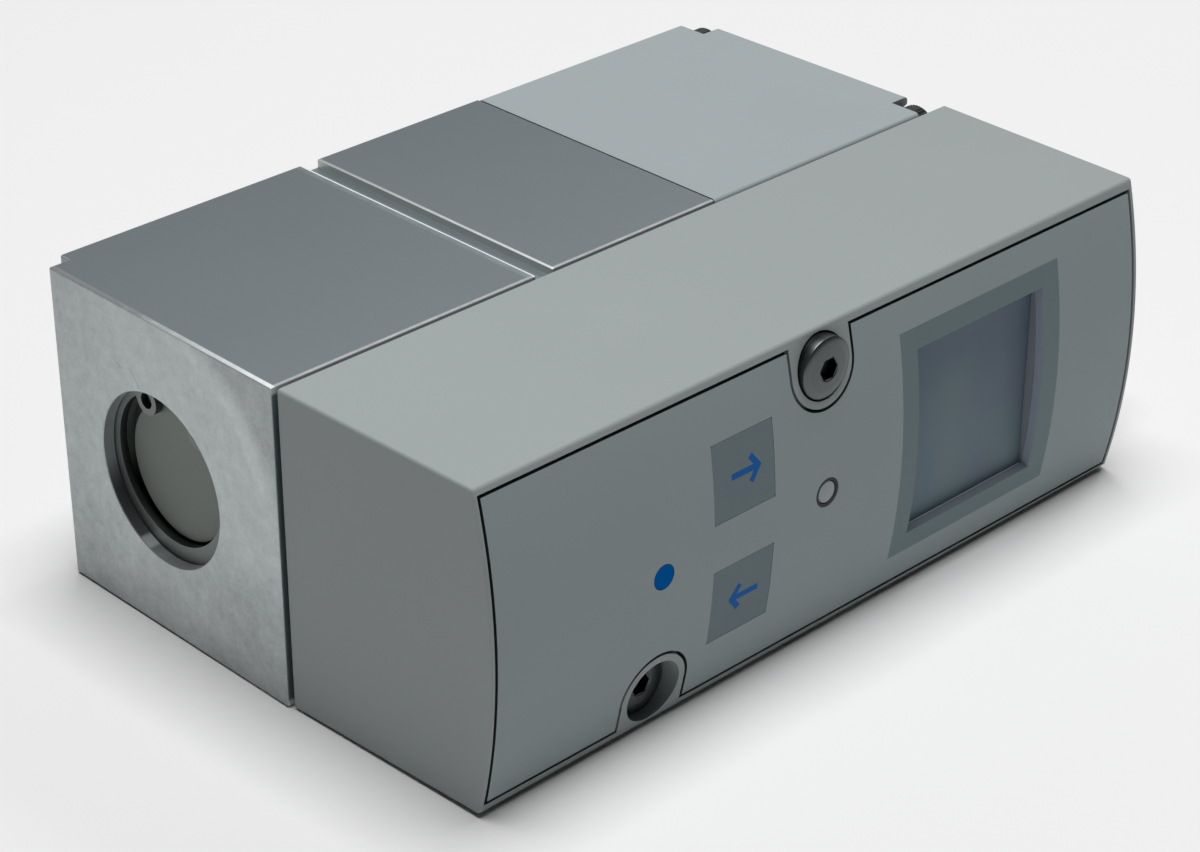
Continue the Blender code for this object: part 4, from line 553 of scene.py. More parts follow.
def satinAluminium():
    # Drawn and anodised: very fine lines along y on the long sides, bright edges that are partly worn bare and
    # partly painted highlight, and a raw end face.
    shade = Shade("satinAluminium")
    lines = shade.noise(0.16, 2.0, 0.6, stretch=(1, 60, 1))
    fine = shade.noise(0.22, 2.0, 0.5)
    patches = shade.noise(1.8, 5.0, 0.72)
    dust = shade.noise(0.6, 4.0, 0.75)
    # varies the bright edge lines, which are partly wear and partly painted highlight
    wear = shade.noise(3.0, 4.0, 0.7, shift=(2, 5, 3))
    away, rise, behind = shade.y - boreY, shade.z - half, shade.y - metalFront
    distance = (away * away + rise * rise) ** 0.5
    facing = shade.normalPart("X")
    raw = facing.under(-0.7, 0.1) * shade.x.under(0.05, 0.04)
    grooveWall = facing.under(-0.7, 0.1) * shade.x.over(40.0, 0.2)

    tone = 1.02 + shade.noise(12, 2.0) * 0.05 + lines * 0.05 + fine * 0.02 - behind * 0.0036
    beforeGroove = (shade.x - block["grooveFloor"] + 0.6).size().under(0.5, 0.5)
    grooveMiddle = (block["grooveFloor"] + block["grooveEnd"]) / 2
    inGroove = (shade.x - grooveMiddle).size().under(block["grooveEnd"] - grooveMiddle, 0.1)
    inGroove = inGroove * rise.size().under(half - 0.6, 0.1)
    tone = tone + beforeGroove * patches.over(0.42, 0.3) * 0.35 + inGroove * 0.28
    colour = shade.tone(seen(144, 154, 158), tone)
    # inside the bore: dull, with painted shade darkest at the lower left, and below that one bright streak, a
    # painted highlight
    bored = distance.under(11.95, 0.05) * (1.0 - raw)
    lowerLeft = ((away - rise) * 0.707 / distance).over(0.88, 0.16)
    streak = ((away * 0.375 - rise * 0.927) / distance).over(0.996, 0.004)
    colour = shade.mix(bored, colour, shade.tone((0.34, 0.36, 0.37), 1.25 - lowerLeft * 0.95 + streak * 1.1))
    rawTone = rawFaceTone(shade, away, rise, distance, patches, dust)
    colour = shade.mix(raw, colour, shade.tone((0.50, 0.535, 0.535), rawTone))
    colour = shade.mix(grooveWall, colour, (0.64, 0.67, 0.65))
    # the blocks' front faces near the top and bottom edges, in the joint under the housing, made lighter:
    # painted light where the gap lies in shade
    inJoint = shade.normalPart("Y").under(-0.7, 0.1) * rise.size().over(half - 0.9, 0.4)
    colour = shade.mix(inJoint, colour, (0.62, 0.65, 0.65))
    # bright edge lines: partly bare metal, partly painted highlight
    wornAndLit, groove, end = wornAndLitLines(shade, rise, behind)
    wornAndLit = wornAndLit * (1.0 - raw)
    side = wornAndLitLine["frontTone"] - 0.2 + wear * 0.4 + groove * (wornAndLitLine["grooveTone"] - wornAndLitLine["frontTone"])
    # the end's line fades towards the back: painted highlight
    endTone = (1.0 - behind * 0.028 + (wear - 0.5) * 0.6).most(0.24)
    colour = shade.mix(wornAndLit, colour, shade.tone((0.86, 0.89, 0.90), side * (1.0 - end) + endTone * end))
    rough = (0.36 + fine * 0.08) * (1.0 - raw) + (0.46 + patches * 0.1 + dust * 0.08) * raw
    height = (lines * 0.5 + fine * 0.3) * (1.0 - raw) + (patches + dust) * 0.8 * raw
    metal = 0.88 - wornAndLit * 0.7 - grooveWall * 0.5 - inJoint * 0.8 - bored * 0.25
    return shade.wear(colour=colour, rough=rough, metal=metal, normal=shade.bump(height, 0.006))


def turnedMetal(name, colour, centre, roughness=0.3):
    # Tool marks run round the axis along x: fine rings on faces and on round walls.
    shade = Shade(name, metal=1.0)
    away, rise = shade.y - centre[0], shade.z - centre[1]
    distance = (away * away + rise * rise) ** 0.5
    place = shade.add("ShaderNodeCombineXYZ", {}, {0: distance / 0.22, 1: shade.x / 0.22, 2: 0.0})
    rings = shade.add("ShaderNodeTexNoise", {"noise_dimensions": "2D"},
                      {"Vector": place, "Scale": 1.0, "Detail": 2.0}, "Fac")
    cloud = shade.noise(2.5, 3.0, 0.6)
    return shade.wear(colour=shade.tone(colour, 0.88 + rings * 0.14 + cloud * 0.1),
                      rough=roughness + cloud * 0.12 - rings * 0.05, normal=shade.bump(rings, 0.004))


def speckledSteel(name, colour, roughness=0.5, metal=0.7, shadedSides=False, shadedBehind=None):
    # The first option gives a flat part that faces along x painted shade on its sides; the second is the x past
    # which it gets painted shade, deeper in the bore.
    shade = Shade(name, metal=metal)
    grain = shade.noise(0.35, 4.0, 0.7)
    cloud = shade.noise(3.0, 3.0, 0.6)
    tone = 0.86 + grain * 0.2 + cloud * 0.08
    if shadedSides:
        tone = tone * (1.0 - shade.normalPart("X").size().under(0.6, 0.2) * 0.75)
    if shadedBehind:
        tone = tone * (1.0 - shade.x.over(shadedBehind, 0.2) * 0.7)
    return shade.wear(colour=shade.tone(colour, tone), rough=roughness + grain * 0.12,
                      normal=shade.bump(grain, 0.008))


def buttonSteel():
    # Plated: a little darker on the flat round the socket; the head's straight side gets dark painted shade.
    shade = Shade("screwSteel", metal=0.9)
    grain = shade.noise(0.35, 4.0, 0.7)
    facing = shade.normalPart("Y")
    onFlat, onSide = facing.under(-0.985, 0.01), facing.size().under(0.12, 0.1)
    tone = (0.8 + grain * 0.2) * (1.0 - onFlat * 0.1) * (1.0 - onSide * 0.8)
    return shade.wear(colour=shade.tone(seen(98, 103, 104), tone), rough=0.3 + grain * 0.12,
                      normal=shade.bump(grain, 0.006))


def fineGrain(name, colour, roughness, height, **fixed):
    shade = Shade(name, **fixed)
    grain = shade.noise(0.3, 3.0, 0.6)
    return shade.wear(colour=shade.tone(colour, 0.8 + grain * 0.4), rough=roughness + grain * 0.15,
                      normal=shade.bump(grain, height))


def circuitBoard():
    # Solder resist over copper tracks.
    shade = Shade("circuitBoard", specular=0.5)
    tracks = shade.add("ShaderNodeTexWave", {"wave_type": "BANDS", "bands_direction": "Z"}, {
        "Vector": shade.place, "Scale": 0.35, "Distortion": 4.0, "Detail": 1.0, "Detail Scale": 0.2}, "Fac")
    track = tracks.over(0.78, 0.05)
    colour = shade.mix(track * 0.6, seen(20, 84, 50), seen(44, 118, 70))
    return shade.wear(colour=shade.tone(colour, 0.9 + shade.noise(4, 2.0) * 0.2), rough=0.35 + track * 0.08,
                      normal=shade.bump(track, 0.02))


# the housing gets painted shade that deepens towards the connector end
housingLook = mouldedPlastic("housingPlastic", paint["housing"], paintedFalloff=0.0007)
coverLook = mouldedPlastic("coverPlastic", paint["cover"], grain=0.5, grainDepth=0.008)
panelLook = panelPlastic()
blueLook = plainPlastic("bluePrint", paint["blue"], specular=0.0)
blackLook = plainPlastic("blackPlastic", paint["black"])
wellLook = plainPlastic("wellPlastic", seen(138, 146, 154))
lightLook = plainPlastic("lightPipe", seen(152, 158, 163), roughness=0.3)
coilLook = plainPlastic("coilPlastic", seen(34, 52, 92))
displayLook = displayGlass()
blockLook = satinAluminium()
turnedLook = turnedMetal("turnedAluminium", seen(178, 182, 184), boreCentre)
# the plug gets painted shade on its sides and on its rim behind the raised face
discLook = speckledSteel("plugFace", seen(125, 131, 126), metal=0.45, shadedSides=True, shadedBehind=2.9)
screwLook = buttonSteel()
springLook = speckledSteel("springSteel", seen(150, 152, 154), roughness=0.3, metal=0.95)
ringLook = speckledSteel("ringSteel", seen(122, 128, 126), roughness=0.4, metal=0.6, shadedSides=True)
blackScrewLook = fineGrain("blackScrewSteel", seen(58, 60, 62), 0.38, 0.004, metal=0.6)
brassLook = turnedMetal("turnedBrass", seen(196, 160, 92), boreCentre)
nickelLook = turnedMetal("nickelPlate", seen(196, 192, 180), (plugY, half), roughness=0.24)
goldLook = speckledSteel("goldPlate", seen(214, 178, 98), roughness=0.22, metal=1.0)
rubberLook = fineGrain("sealRubber", seen(30, 31, 33), 0.6, 0.01, specular=0.3)
boardLook = circuitBoard()
print("scene: materials made")


# front housing

housing = {"edge": 0.42, "wall": 2.2, "frontWall": 3.0, "rimNear": 0.5, "rimFar": 0.75, "rimTop": 0.88,
           "rimLow": 1.2, "topFall": 0.35, "lowFall": 0.6, "gap": 0.4, "panelThickness": 1.2,
           "panelBackGap": 0.3, "panelCorner": 0.12, "softEdge": 0.1, "rearCorner": 0.7}
tab = {"radius": 5.0, "recess": 4.1, "floor": 3.5, "shank": 2.25, "post": 5.1}
screwPlaces = {"upper": (53.8, width - 5.0), "lower": (27.0, 5.0)}
keys = {"x": 40.0, "pitch": 16.15, "length": 9.8, "height": 9.85, "grow": 0.03, "corner": 0.25,
        "softEdge": 0.05, "flangeBack": 3.2, "flangeGrowth": 1.2, "stem": 2.0, "stemEnd": 4.7,
        "editX": 27.0, "editRadius": 1.55}
light = {"x": 53.8, "radius": 1.4, "collar": 2.4, "collarLength": 0.8, "end": 7.7}
connector = {"y": plugY, "thread": 6.0, "cavity": 4.9, "flange": 8.5, "flangeThickness": 1.8, "reach": 11.0,
             "inner": 6.5, "cavityDepth": 8.5, "core": 5.4, "pitch": 1.0, "pinCircle": 2.75, "pin": 0.4}
window = {"low": (69.9, 8.25), "high": (93.1, 33.5), "frameWall": 2.4, "frameBack": 4.0}
flangeFront = face + housing["frontWall"] + 0.3  # collars of keys and light, just behind the front wall


def panelBlock(name, margin):
    # The panel's plan: both long sides fall a little towards the connector.
    inset = housing["gap"] - margin
    piece = addPlan(name, (front["draftNear"] + housing["rimNear"] + inset,
                           front["draftSide"] + housing["rimLow"] + inset),
                    (length - front["draftFar"] - housing["rimFar"] - inset,
                     width - front["draftSide"] - housing["rimTop"] - inset))
    for side, fall in ((1, housing["topFall"]), (-1, housing["lowFall"])):
        moveEdges(piece, lambda a, b: min(a.x, b.x) > 60 and min((a.z - half) * side, (b.z - half) * side) > 0,
                  (0, 0, -fall))
    bevelEdges(piece, lambda a, b: abs(a.y - b.y) > 5, housing["panelCorner"], 2)
    return piece


def keyPlan(side):
    # The corners of the upper key, side 1, or of the lower one, side -1.
    z = half + side * keys["pitch"] / 2
    reach = Vector((keys["length"] / 2, keys["height"] / 2))
    return Vector((keys["x"], z)) - reach, Vector((keys["x"], z)) + reach


def frontTools(clearance, keyClearance, windowGrowth):
    # Cutters for everything that reaches through the front.
    return [addPlan("opening", window["low"], window["high"], windowGrowth),
            *(addPlan("opening", *keyPlan(side), keyClearance) for side in (1, -1)),
            addRod("opening", keys["editRadius"] + keyClearance, -8, 8, (keys["editX"], half), "Y", 64),
            addRod("opening", light["radius"] + clearance, -8, 8, (light["x"], half), "Y", 64)]


def makeHousing():
    slope = (depth + front["bow"]) / depth
    piece = addBlock("housingHood", (0, face, 0), (length, depth, width))
    for axis, place, draft in ((0, 0, front["draftNear"]), (0, length, -front["draftFar"]),
                               (2, 0, front["draftSide"]), (2, width, -front["draftSide"])):
        by = Vector((0, 0, 0))
        by[axis] = draft * slope
        moveEdges(piece, lambda a, b: max(a.y, b.y) < 0 and abs((a[axis] + b[axis]) / 2 - place) < 0.5, by)
    cut(piece, bowRod(0), how="INTERSECT")

    def outer(a, b):
        alongSide = abs(a.y - b.y) > 5 and abs(a.z - b.z) < 1
        ends = abs(a.x - b.x) < 0.05 and (a.x < 2 or a.x > length - 1) and a.y < 2 and b.y < 2
        longFront = abs(a.x - b.x) > 50 and a.y < 2 and (a.z < 1 or a.z > width - 1)
        return alongSide or ends or longFront

    def rearUpright(a, b):
        return abs(a.z - b.z) > 5 and min(a.x, b.x) > length - 1 and min(a.y, b.y) > depth - 1
    bevelEdges(piece, outer, housing["edge"], 4)
    bevelEdges(piece, rearUpright, housing["rearCorner"], 4)

    pocket = panelBlock("pocket", housing["gap"])
    cut(pocket, bowRod(housing["panelThickness"] + housing["panelBackGap"]))
    for place in screwPlaces.values():
        cut(pocket, addTongue("tab", tab["radius"], place))
    cut(piece, pocket)

    wall = housing["wall"]
    cavity = addBlock("cavity", (wall, -8, wall), (length - wall, depth + beyond, width - wall))
    cut(cavity, bowRod(housing["frontWall"]), how="INTERSECT")
    for place in screwPlaces.values():
        cut(cavity, addRod("post", tab["post"], -9, depth + 2 * beyond, place, "Y", 64))
    cut(piece, cavity)
    cut(piece, *frontTools(0.3, 0.3, window["frameWall"] + 0.3))
    for place in screwPlaces.values():
        cut(piece, addRod("recess", tab["recess"], -9, tab["floor"], place, "Y", 96))
        cut(piece, addRod("shank", tab["shank"], -9, depth + beyond, place, "Y", 48))
    cut(piece, addRod("connectorHole", connector["thread"] + 0.3, length - 6, length + beyond,
                      (connector["y"], half), "X", 64))
    softenEdges(piece, housing["softEdge"], angle=50)
    finish(piece, housingLook, "housing_plastic", "front_housing")


def makePanel():
    piece = panelBlock("frontPanel", 0.0)
    cut(piece, bowRod(0), how="INTERSECT")
    cut(piece, bowRod(housing["panelThickness"]))
    for place in screwPlaces.values():
        cut(piece, addTongue("slot", tab["radius"] + housing["gap"], place))
    cut(piece, *frontTools(0.1, 0.05, 0.0))
    softenEdges(piece, 0.06, angle=50)
    finish(piece, panelLook, "panel_plastic", "front_panel")


def makeKeys():
    back, stemEnd = keys["flangeBack"], keys["stemEnd"]
    rows = [("keyUpCap", "key_up", "up_key", 1, (37.95, 42.5), 0.08),
            ("keyDownCap", "key_down", "down_key", -1, (42.75, 38.2), -0.05)]
    for name, node, body, side, (tail, tip), lift in rows:
        z = half + side * keys["pitch"] / 2
        piece = addPlan(name, *keyPlan(side), keys["grow"], end=back)
        bevelEdges(piece, lambda a, b: abs(a.y - b.y) > 5, keys["corner"], 3)
        cut(piece, bowRod(0), how="INTERSECT")
        softenEdges(piece, keys["softEdge"])
        flange = addPlan("flange", *keyPlan(side), keys["flangeGrowth"], end=back - 0.15)
        cut(flange, bowRod(housing["frontWall"] + 0.3), how="INTERSECT")
        stem = addRod("stem", keys["stem"], back - 1, stemEnd, (keys["x"], z), "Y", 32)
        cut(piece, flange, stem, how="UNION")
        look = keyPlastic(name + "Look", (tail, z + lift), (tip, z + lift))
        finish(piece, look, "key_plastic", node, body=body)
    radius = keys["editRadius"]
    collar = radius + keys["flangeGrowth"]
    profile = [(face, 0), (face, radius - 0.05), (face + 0.05, radius), (flangeFront, radius),
               (flangeFront, collar), (back, collar), (back, radius), (stemEnd, radius), (stemEnd, 0)]
    edit = addTurned("keyEditCap", profile, (keys["editX"], half), "Y", 64)
    finish(edit, blueLook, "blue_plastic", "key_edit", body="edit_key")


def makeLight():
    radius, collar, collarEnd = light["radius"], light["collar"], flangeFront + light["collarLength"]
    profile = [(face, 0), (face + 0.02, radius * 0.6), (face + 0.08, radius - 0.05), (face + 0.14, radius),
               (flangeFront, radius), (flangeFront, collar), (collarEnd, collar), (collarEnd, radius),
               (light["end"], radius), (light["end"], 0)]
    piece = addTurned("statusLight", profile, (light["x"], half), "Y", 64)
    finish(piece, lightLook, "light_pipe", "status_light_pipe")


def makeDisplay():
    # The well's frame reaches up to the panel; the window lies in its rebate.
    corners = window["low"], window["high"]
    piece = addPlan("displayWell", *corners, window["frameWall"], end=window["frameBack"])
    cut(piece, bowRod(housing["panelThickness"] + 0.06), how="INTERSECT")
    cut(piece, addPlan("well", *corners))
    paneFront = drawn(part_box("display_window")[0]).y
    cut(piece, addPlan("rebate", *corners, 1.0, start=paneFront - 0.03))
    softenEdges(piece, 0.08)
    finish(piece, wellLook, "black_plastic", "display_frame")


makeHousing()
makePanel()
makeKeys()
makeLight()
makeDisplay()
print("scene: housing, panel, keys and display made")


# metal blocks, cover and what shows in the bore

bore = {"radius": 11.1, "lip": 0.1, "step": 0.1, "ringFront": 1.3, "ring": 1.0, "groove": 0.7, "sideGap": 0.15,
        "plugSeat": 11.5, "chamber": 8.5, "seat": 23.0, "seatLip": 0.6, "seatHole": 4.6, "seatLipWidth": 0.9,
        "outputChamber": 25.5}
cylinder = {"wallFrom": 40.5, "stemHole": 3.2, "wallTo": 43.0, "from": 51.0, "radius": 12.5}
ports = {"supply": 17.0, "output": 31.5, "exhaust": 47.0, "radius": 3.75, "sealRecess": 6.2,
         "recessDepth": 1.4, "chamfer": 0.25, "sealRadius": 5.1, "sealWire": 0.85}


def grooveTools():
    ends = (block["grooveFloor"], metalFront - beyond), (block["grooveEnd"], metalBack + beyond)
    floors = (width - block["grooveDepth"], width + 2), (-2, block["grooveDepth"])
    return [addBlock("groove", (*ends[0], low), (*ends[1], high)) for low, high in floors]


def portTool(x):
    start, radius, recess = boreY + bore["chamber"] / 2, ports["radius"], ports["sealRecess"]
    floor = metalBack - ports["recessDepth"]
    profile = [(start, 0), (start, radius), (floor - ports["chamfer"], radius),
               (floor, radius + ports["chamfer"]), (floor, recess), (metalBack - 0.15, recess),
               (metalBack + 0.35, recess + 0.5),
               (metalBack + beyond, recess + 0.5), (metalBack + beyond, 0)]
    return addTurned("port", profile, (x, half), "Y", 96)


def screwHole(place):
    return addRod("screwHole", tab["shank"], metalFront - beyond, metalBack + beyond, place, "Y", 48)


def makeBoredBlock():
    end, far = block["end"], block["far"]
    piece = addBlock("boredBlock", (end, metalFront, 0), (far, metalBack, width))
    cut(piece, *grooveTools())
    cut(piece, addBlock("step", (-beyond, metalBack - block["stepDepth"], -beyond),
                        (block["stepLength"], metalBack + beyond, width + beyond)))
    softenEdges(piece, block["edge"], angle=35)
    radius, chamber, hole = bore["radius"], bore["chamber"], bore["seatHole"]
    lip = radius + bore["lip"]
    close, ringRadius = radius - bore["step"], radius + bore["groove"]
    grooveStart = bore["ringFront"] - bore["sideGap"]
    grooveEnd = bore["ringFront"] + bore["ring"] + bore["sideGap"]
    seat, seatOuter, seatTop = bore["seat"], hole + bore["seatLipWidth"], bore["seat"] - bore["seatLip"]
    output = bore["outputChamber"]
    profile = [(end - beyond, 0), (end - beyond, lip + beyond), (end, lip), (end + bore["lip"], radius),
               (grooveStart, radius), (grooveStart, ringRadius), (grooveEnd, ringRadius), (grooveEnd, close),
               (bore["plugSeat"], close), (bore["plugSeat"], chamber), (seat, chamber), (seat, seatOuter),
               (seatTop, seatOuter), (seatTop, hole), (output, hole), (output, chamber),
               (far + beyond, chamber), (far + beyond, 0)]
    cut(piece, addTurned("mainBore", profile, boreCentre, "X", 160))
    cut(piece, portTool(ports["supply"]), portTool(ports["output"]), screwHole(screwPlaces["lower"]))
    finish(piece, blockLook, "satin_aluminium", "valve_body")


def makeInnerBlock():
    start, end, chamber = block["innerStart"], block["innerEnd"], bore["chamber"]
    piece = addBlock("innerBlock", (start, metalFront, 0), (end, metalBack, width))
    cut(piece, *grooveTools())
    cut(piece, addBlock("flat", (end - 0.02, metalFront - beyond, -beyond),
                        (end + beyond, metalBack + beyond, width + beyond)))
    softenEdges(piece, block["edge"] * 0.8, angle=35)
    wallFrom, hole, wallTo, cylinderFrom, radius = cylinder.values()
    profile = [(start - beyond, 0), (start - beyond, chamber), (wallFrom, chamber), (wallFrom, hole),
               (wallTo, hole), (wallTo, chamber), (cylinderFrom, chamber), (cylinderFrom, radius),
               (end + beyond, radius), (end + beyond, 0)]
    cut(piece, addTurned("cylinder", profile, boreCentre, "X", 96))
    cut(piece, portTool(ports["exhaust"]), screwHole(screwPlaces["upper"]))
    finish(piece, blockLook, "satin_aluminium", "regulating_body")


cover = {"start": 69.35, "end": 110.7, "slope": 0.7, "edge": 0.6, "softEdge": 0.14, "wall": 2.5, "postY": 7.8,
         "postZ": 8.4, "seatDepth": 3.2, "seatY": 4.7, "seatZ": 6.8, "screwFromFace": 2.6,
         "screwFromSide": 3.3, "screwHole": 1.7}
capScrew = {"shank": 1.5, "head": 2.75, "headHeight": 3.0, "length": 47.0, "socket": 2.5, "socketDepth": 1.5,
            "sides": 72, "knurl": 0.955}


def coverScrews():
    rows = []
    for end, y in ((cover["end"], metalFront + cover["screwFromFace"]),
                   (cover["end"] - cover["slope"], metalBack - cover["screwFromFace"])):
        for z in (cover["screwFromSide"], width - cover["screwFromSide"]):
            rows.append((end - cover["seatDepth"], y, z))
    return rows


def coverCorner(start, y, z, reachY, reachZ):
    # A block from start past the end, and from a screw's corner out past the cover's sides.
    yLow = metalFront - beyond if y < boreY else metalBack - reachY
    yHigh = metalFront + reachY if y < boreY else metalBack + beyond
    zLow = -beyond if z < half else width - reachZ
    zHigh = reachZ if z < half else width + beyond
    return addBlock("corner", (start, yLow, zLow), (cover["end"] + beyond, yHigh, zHigh))


def makeCover():
    start, end, wall = cover["start"], cover["end"], cover["wall"]
    piece = addBlock("endCap", (start, metalFront, 0), (end, metalBack, width))
    moveEdges(piece, lambda a, b: min(a.x, b.x) > 100 and min(a.y, b.y) > 60, (-cover["slope"], 0, 0))
    bevelEdges(piece, lambda a, b: max(a.x, b.x) > 100, cover["edge"], 4)
    for seat, y, z in coverScrews():
        corner = coverCorner(seat, y, z, cover["seatY"], cover["seatZ"])
        cut(corner, addRod("pocket", capScrew["head"] + 0.3, seat, end + 4, (y, z), "X", 64), how="UNION")
        cut(piece, corner)
    softenEdges(piece, cover["softEdge"], angle=55)
    cavity = addBlock("cavity", (start - beyond, metalFront + wall, wall),
                      (end - cover["slope"] - wall, metalBack - wall, width - wall))
    for seat, y, z in coverScrews():
        cut(cavity, coverCorner(start - 2 * beyond, y, z, cover["postY"], cover["postZ"]))
    cut(piece, cavity)
    for seat, y, z in coverScrews():
        cut(piece, addRod("hole", cover["screwHole"], start - beyond, seat + beyond, (y, z), "X", 32))
    finish(piece, coverLook, "cover_plastic", "pilot_cover")


def makeCapScrews():
    # Socket cap screws: a straight-knurled head, a chamfered crown and a hexagon socket.
    places = coverScrews()
    seat, y, z = places[0]
    head, shank, sides = capScrew["head"], capScrew["shank"], capScrew["sides"]
    base = seat + 0.15
    top = base + capScrew["headHeight"]
    foot = seat - capScrew["length"]
    socketFloor, corner = top - capScrew["socketDepth"], capScrew["socket"] / math.sqrt(3)
    screw = addRod("capScrew1", head, base + 0.35, top - 0.35, (y, z), "X", sides)

    def ridge(a, b):
        turn = math.atan2((a.z + b.z) / 2 - z, (a.y + b.y) / 2 - y) * sides / math.tau
        return abs(a.x - b.x) > 1 and round(turn) % 2 == 0
    pickEdges(screw, ridge)
    bpy.ops.transform.resize(value=(1, capScrew["knurl"], capScrew["knurl"]),
                             center_override=point(base, y, z))
    bpy.ops.object.mode_set(mode="OBJECT")
    crown = [(top - 0.5, 0), (top - 0.5, head * 0.97), (top - 0.3, head * 0.97), (top, head - 0.28), (top, 0)]
    shaft = [(base + 0.5, 0), (base + 0.5, head * 0.985), (base, head - 0.15), (base, shank), (foot, shank),
             (foot, 0)]
    cut(screw, addTurned("crown", crown, (y, z), "X", sides), addTurned("shaft", shaft, (y, z), "X", 48),
        how="UNION")
    cut(screw, addRod("socket", corner, socketFloor, top + 2, (y, z), "X", 6))
    cut(screw, addRod("mouth", corner - 0.1, top - 0.15, top + 0.15, (y, z), "X", 48, endRadius=corner + 0.2))
    copies = [copyOf(screw, f"capScrew{number}", Vector(place) - Vector(places[0]))
              for number, place in enumerate(places[1:], 2)]
    for number, piece in enumerate((screw, *copies), 1):
        finish(piece, blackScrewLook, "black_steel", f"cover_screw_{number}")


ring = {"outer": 11.65, "inner": 9.7, "innerShift": (0.3, 0.6), "gapAngle": 95.0, "lugAngle": 30.4,
        "lugAt": 9.37, "lug": 1.85, "hole": 1.02, "gapReach": 7.2, "softEdge": 0.05}


def makeRetainingRing():
    # The ring is widest opposite its gap, so its inner circle is drawn off centre.
    start, end = bore["ringFront"], bore["ringFront"] + bore["ring"]
    low, high, lug, lugAt = start - 2, end + 2, ring["lug"], ring["lugAt"]
    middle = point(0, *boreCentre)
    piece = addRod("retainingRing", ring["outer"], start, end, boreCentre, "X", 128)
    shifted = (boreY + ring["innerShift"][0], half + ring["innerShift"][1])
    cut(piece, addRod("hollow", ring["inner"], low, high, shifted, "X", 128))
    angles = [math.radians(ring["gapAngle"] + side * ring["lugAngle"]) for side in (-1, 1)]
    centres = [(boreY + lugAt * math.cos(angle), half + lugAt * math.sin(angle)) for angle in angles]
    for angle, centre in zip(angles, centres):
        eye = addRod("lug", lug, start, end, centre, "X", 48)
        neck = addBlock("neck", (start, boreY + lugAt, half - lug),
                        (end, boreY + ring["outer"] - 0.3, half + lug))
        turnAbout(neck, angle, middle)
        cut(eye, neck, how="UNION")
        cut(piece, eye, how="UNION")
    for angle, side in zip(angles, (1, -1)):
        zLow, zHigh = sorted((half + side * lug, half + side * ring["gapReach"]))
        gap = addBlock("gap", (low, boreY + 7, zLow), (high, boreY + 15, zHigh))
        turnAbout(gap, angle, middle)
        cut(piece, gap)
    for centre in centres:
        cut(piece, addRod("hole", ring["hole"], low, high, centre, "X", 40))
    softenEdges(piece, ring["softEdge"], angle=50)
    finish(piece, ringLook, "black_steel", "retaining_ring")


plug = {"face": 2.45, "faceRadius": 8.8, "edge": 0.12, "length": 7.4, "radius": 10.95, "chamfer": 0.3,
        "grooveFrom": 2.5, "grooveLength": 2.4, "grooveDepth": 2.1, "guide": 3.2, "guideDepth": 4.4}


def makePlug():
    # The plug's middle stands up inside the ring; its rim, the seal's groove and the guide are behind.
    start = drawn(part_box("end_plug")[0]).x
    end, groove = start + plug["length"], start + plug["grooveFrom"]
    grooveEnd, guideFloor = groove + plug["grooveLength"], end - plug["guideDepth"]
    radius, chamfer, edge = plug["radius"], plug["chamfer"], plug["edge"]
    bottom = radius - plug["grooveDepth"]
    disc, raised = plug["face"], plug["faceRadius"]
    profile = [(disc, 0), (disc, raised - edge), (disc + edge, raised), (start, raised),
               (start, radius - chamfer), (start + chamfer, radius),
               (groove, radius), (groove, bottom), (grooveEnd, bottom), (grooveEnd, radius),
               (end - chamfer, radius), (end, radius - chamfer), (end, plug["guide"]),
               (guideFloor, plug["guide"]), (guideFloor, 0)]
    piece = addTurned("borePlug", profile, boreCentre, "X", 128)
    finish(piece, discLook, "turned_aluminium", "end_plug")


spring = {"wire": 0.5, "coil": 4.7, "halfTurns": 7, "travel": 1.5}  # travel is the poppet's


def makeReturnSpring():
    # Wound with its ends against the plug and the poppet.
    low, high = (drawn(corner).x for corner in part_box("return_spring"))
    wire, halfTurns = spring["wire"], spring["halfTurns"]
    bpy.ops.object.select_all(action="DESELECT")
    bpy.ops.mesh.primitive_circle_add(vertices=12, radius=wire * mm, location=(spring["coil"] * mm, 0, 0),
                                      rotation=(math.pi / 2, 0, 0))
    piece = settle("poppetReturnSpring")
    useModifier(piece, "SCREW", axis="Z", screw_offset=(high - low - 2 * wire) / halfTurns * mm, angle=math.pi,
                iterations=halfTurns, steps=18, render_steps=18)
    piece.rotation_euler = turnTo["X"]
    piece.location = point(low + wire, *boreCentre)
    piece = settle("poppetReturnSpring")
    mergeDoubles()
    bpy.ops.mesh.fill_holes(sides=0)
    turnOut()
    finish(piece, springLook, "plated_steel", "return_spring")
    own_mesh(piece)


def makePortSeals():
    wire = ports["sealWire"]
    middle = metalBack - ports["recessDepth"] + wire + 0.15
    bpy.ops.object.select_all(action="DESELECT")
    bpy.ops.mesh.primitive_torus_add(major_radius=ports["sealRadius"] * mm, minor_radius=wire * mm,
                                     major_segments=96, minor_segments=20, rotation=turnTo["Y"],
                                     location=point(ports["supply"], middle, half))
    seals = {"supply": settle("supplySealRing")}
    for port in ("output", "exhaust"):
        seals[port] = copyOf(seals["supply"], port + "SealRing", (ports[port] - ports["supply"], 0, 0))
    for port, piece in seals.items():
        finish(piece, rubberLook, "seal_rubber", port + "_port_seal", angle=60)


button = {"head": 3.88, "height": 2.2, "dome": 0.52, "flat": 2.1, "slope": 18, "socket": 2.6,
          "socketDepth": 1.3, "shank": 2.0, "length": 74.9, "core": 1.65, "pitch": 0.7, "threaded": 9.0,
          "upperTop": -2.15, "lowerTop": 1.0}


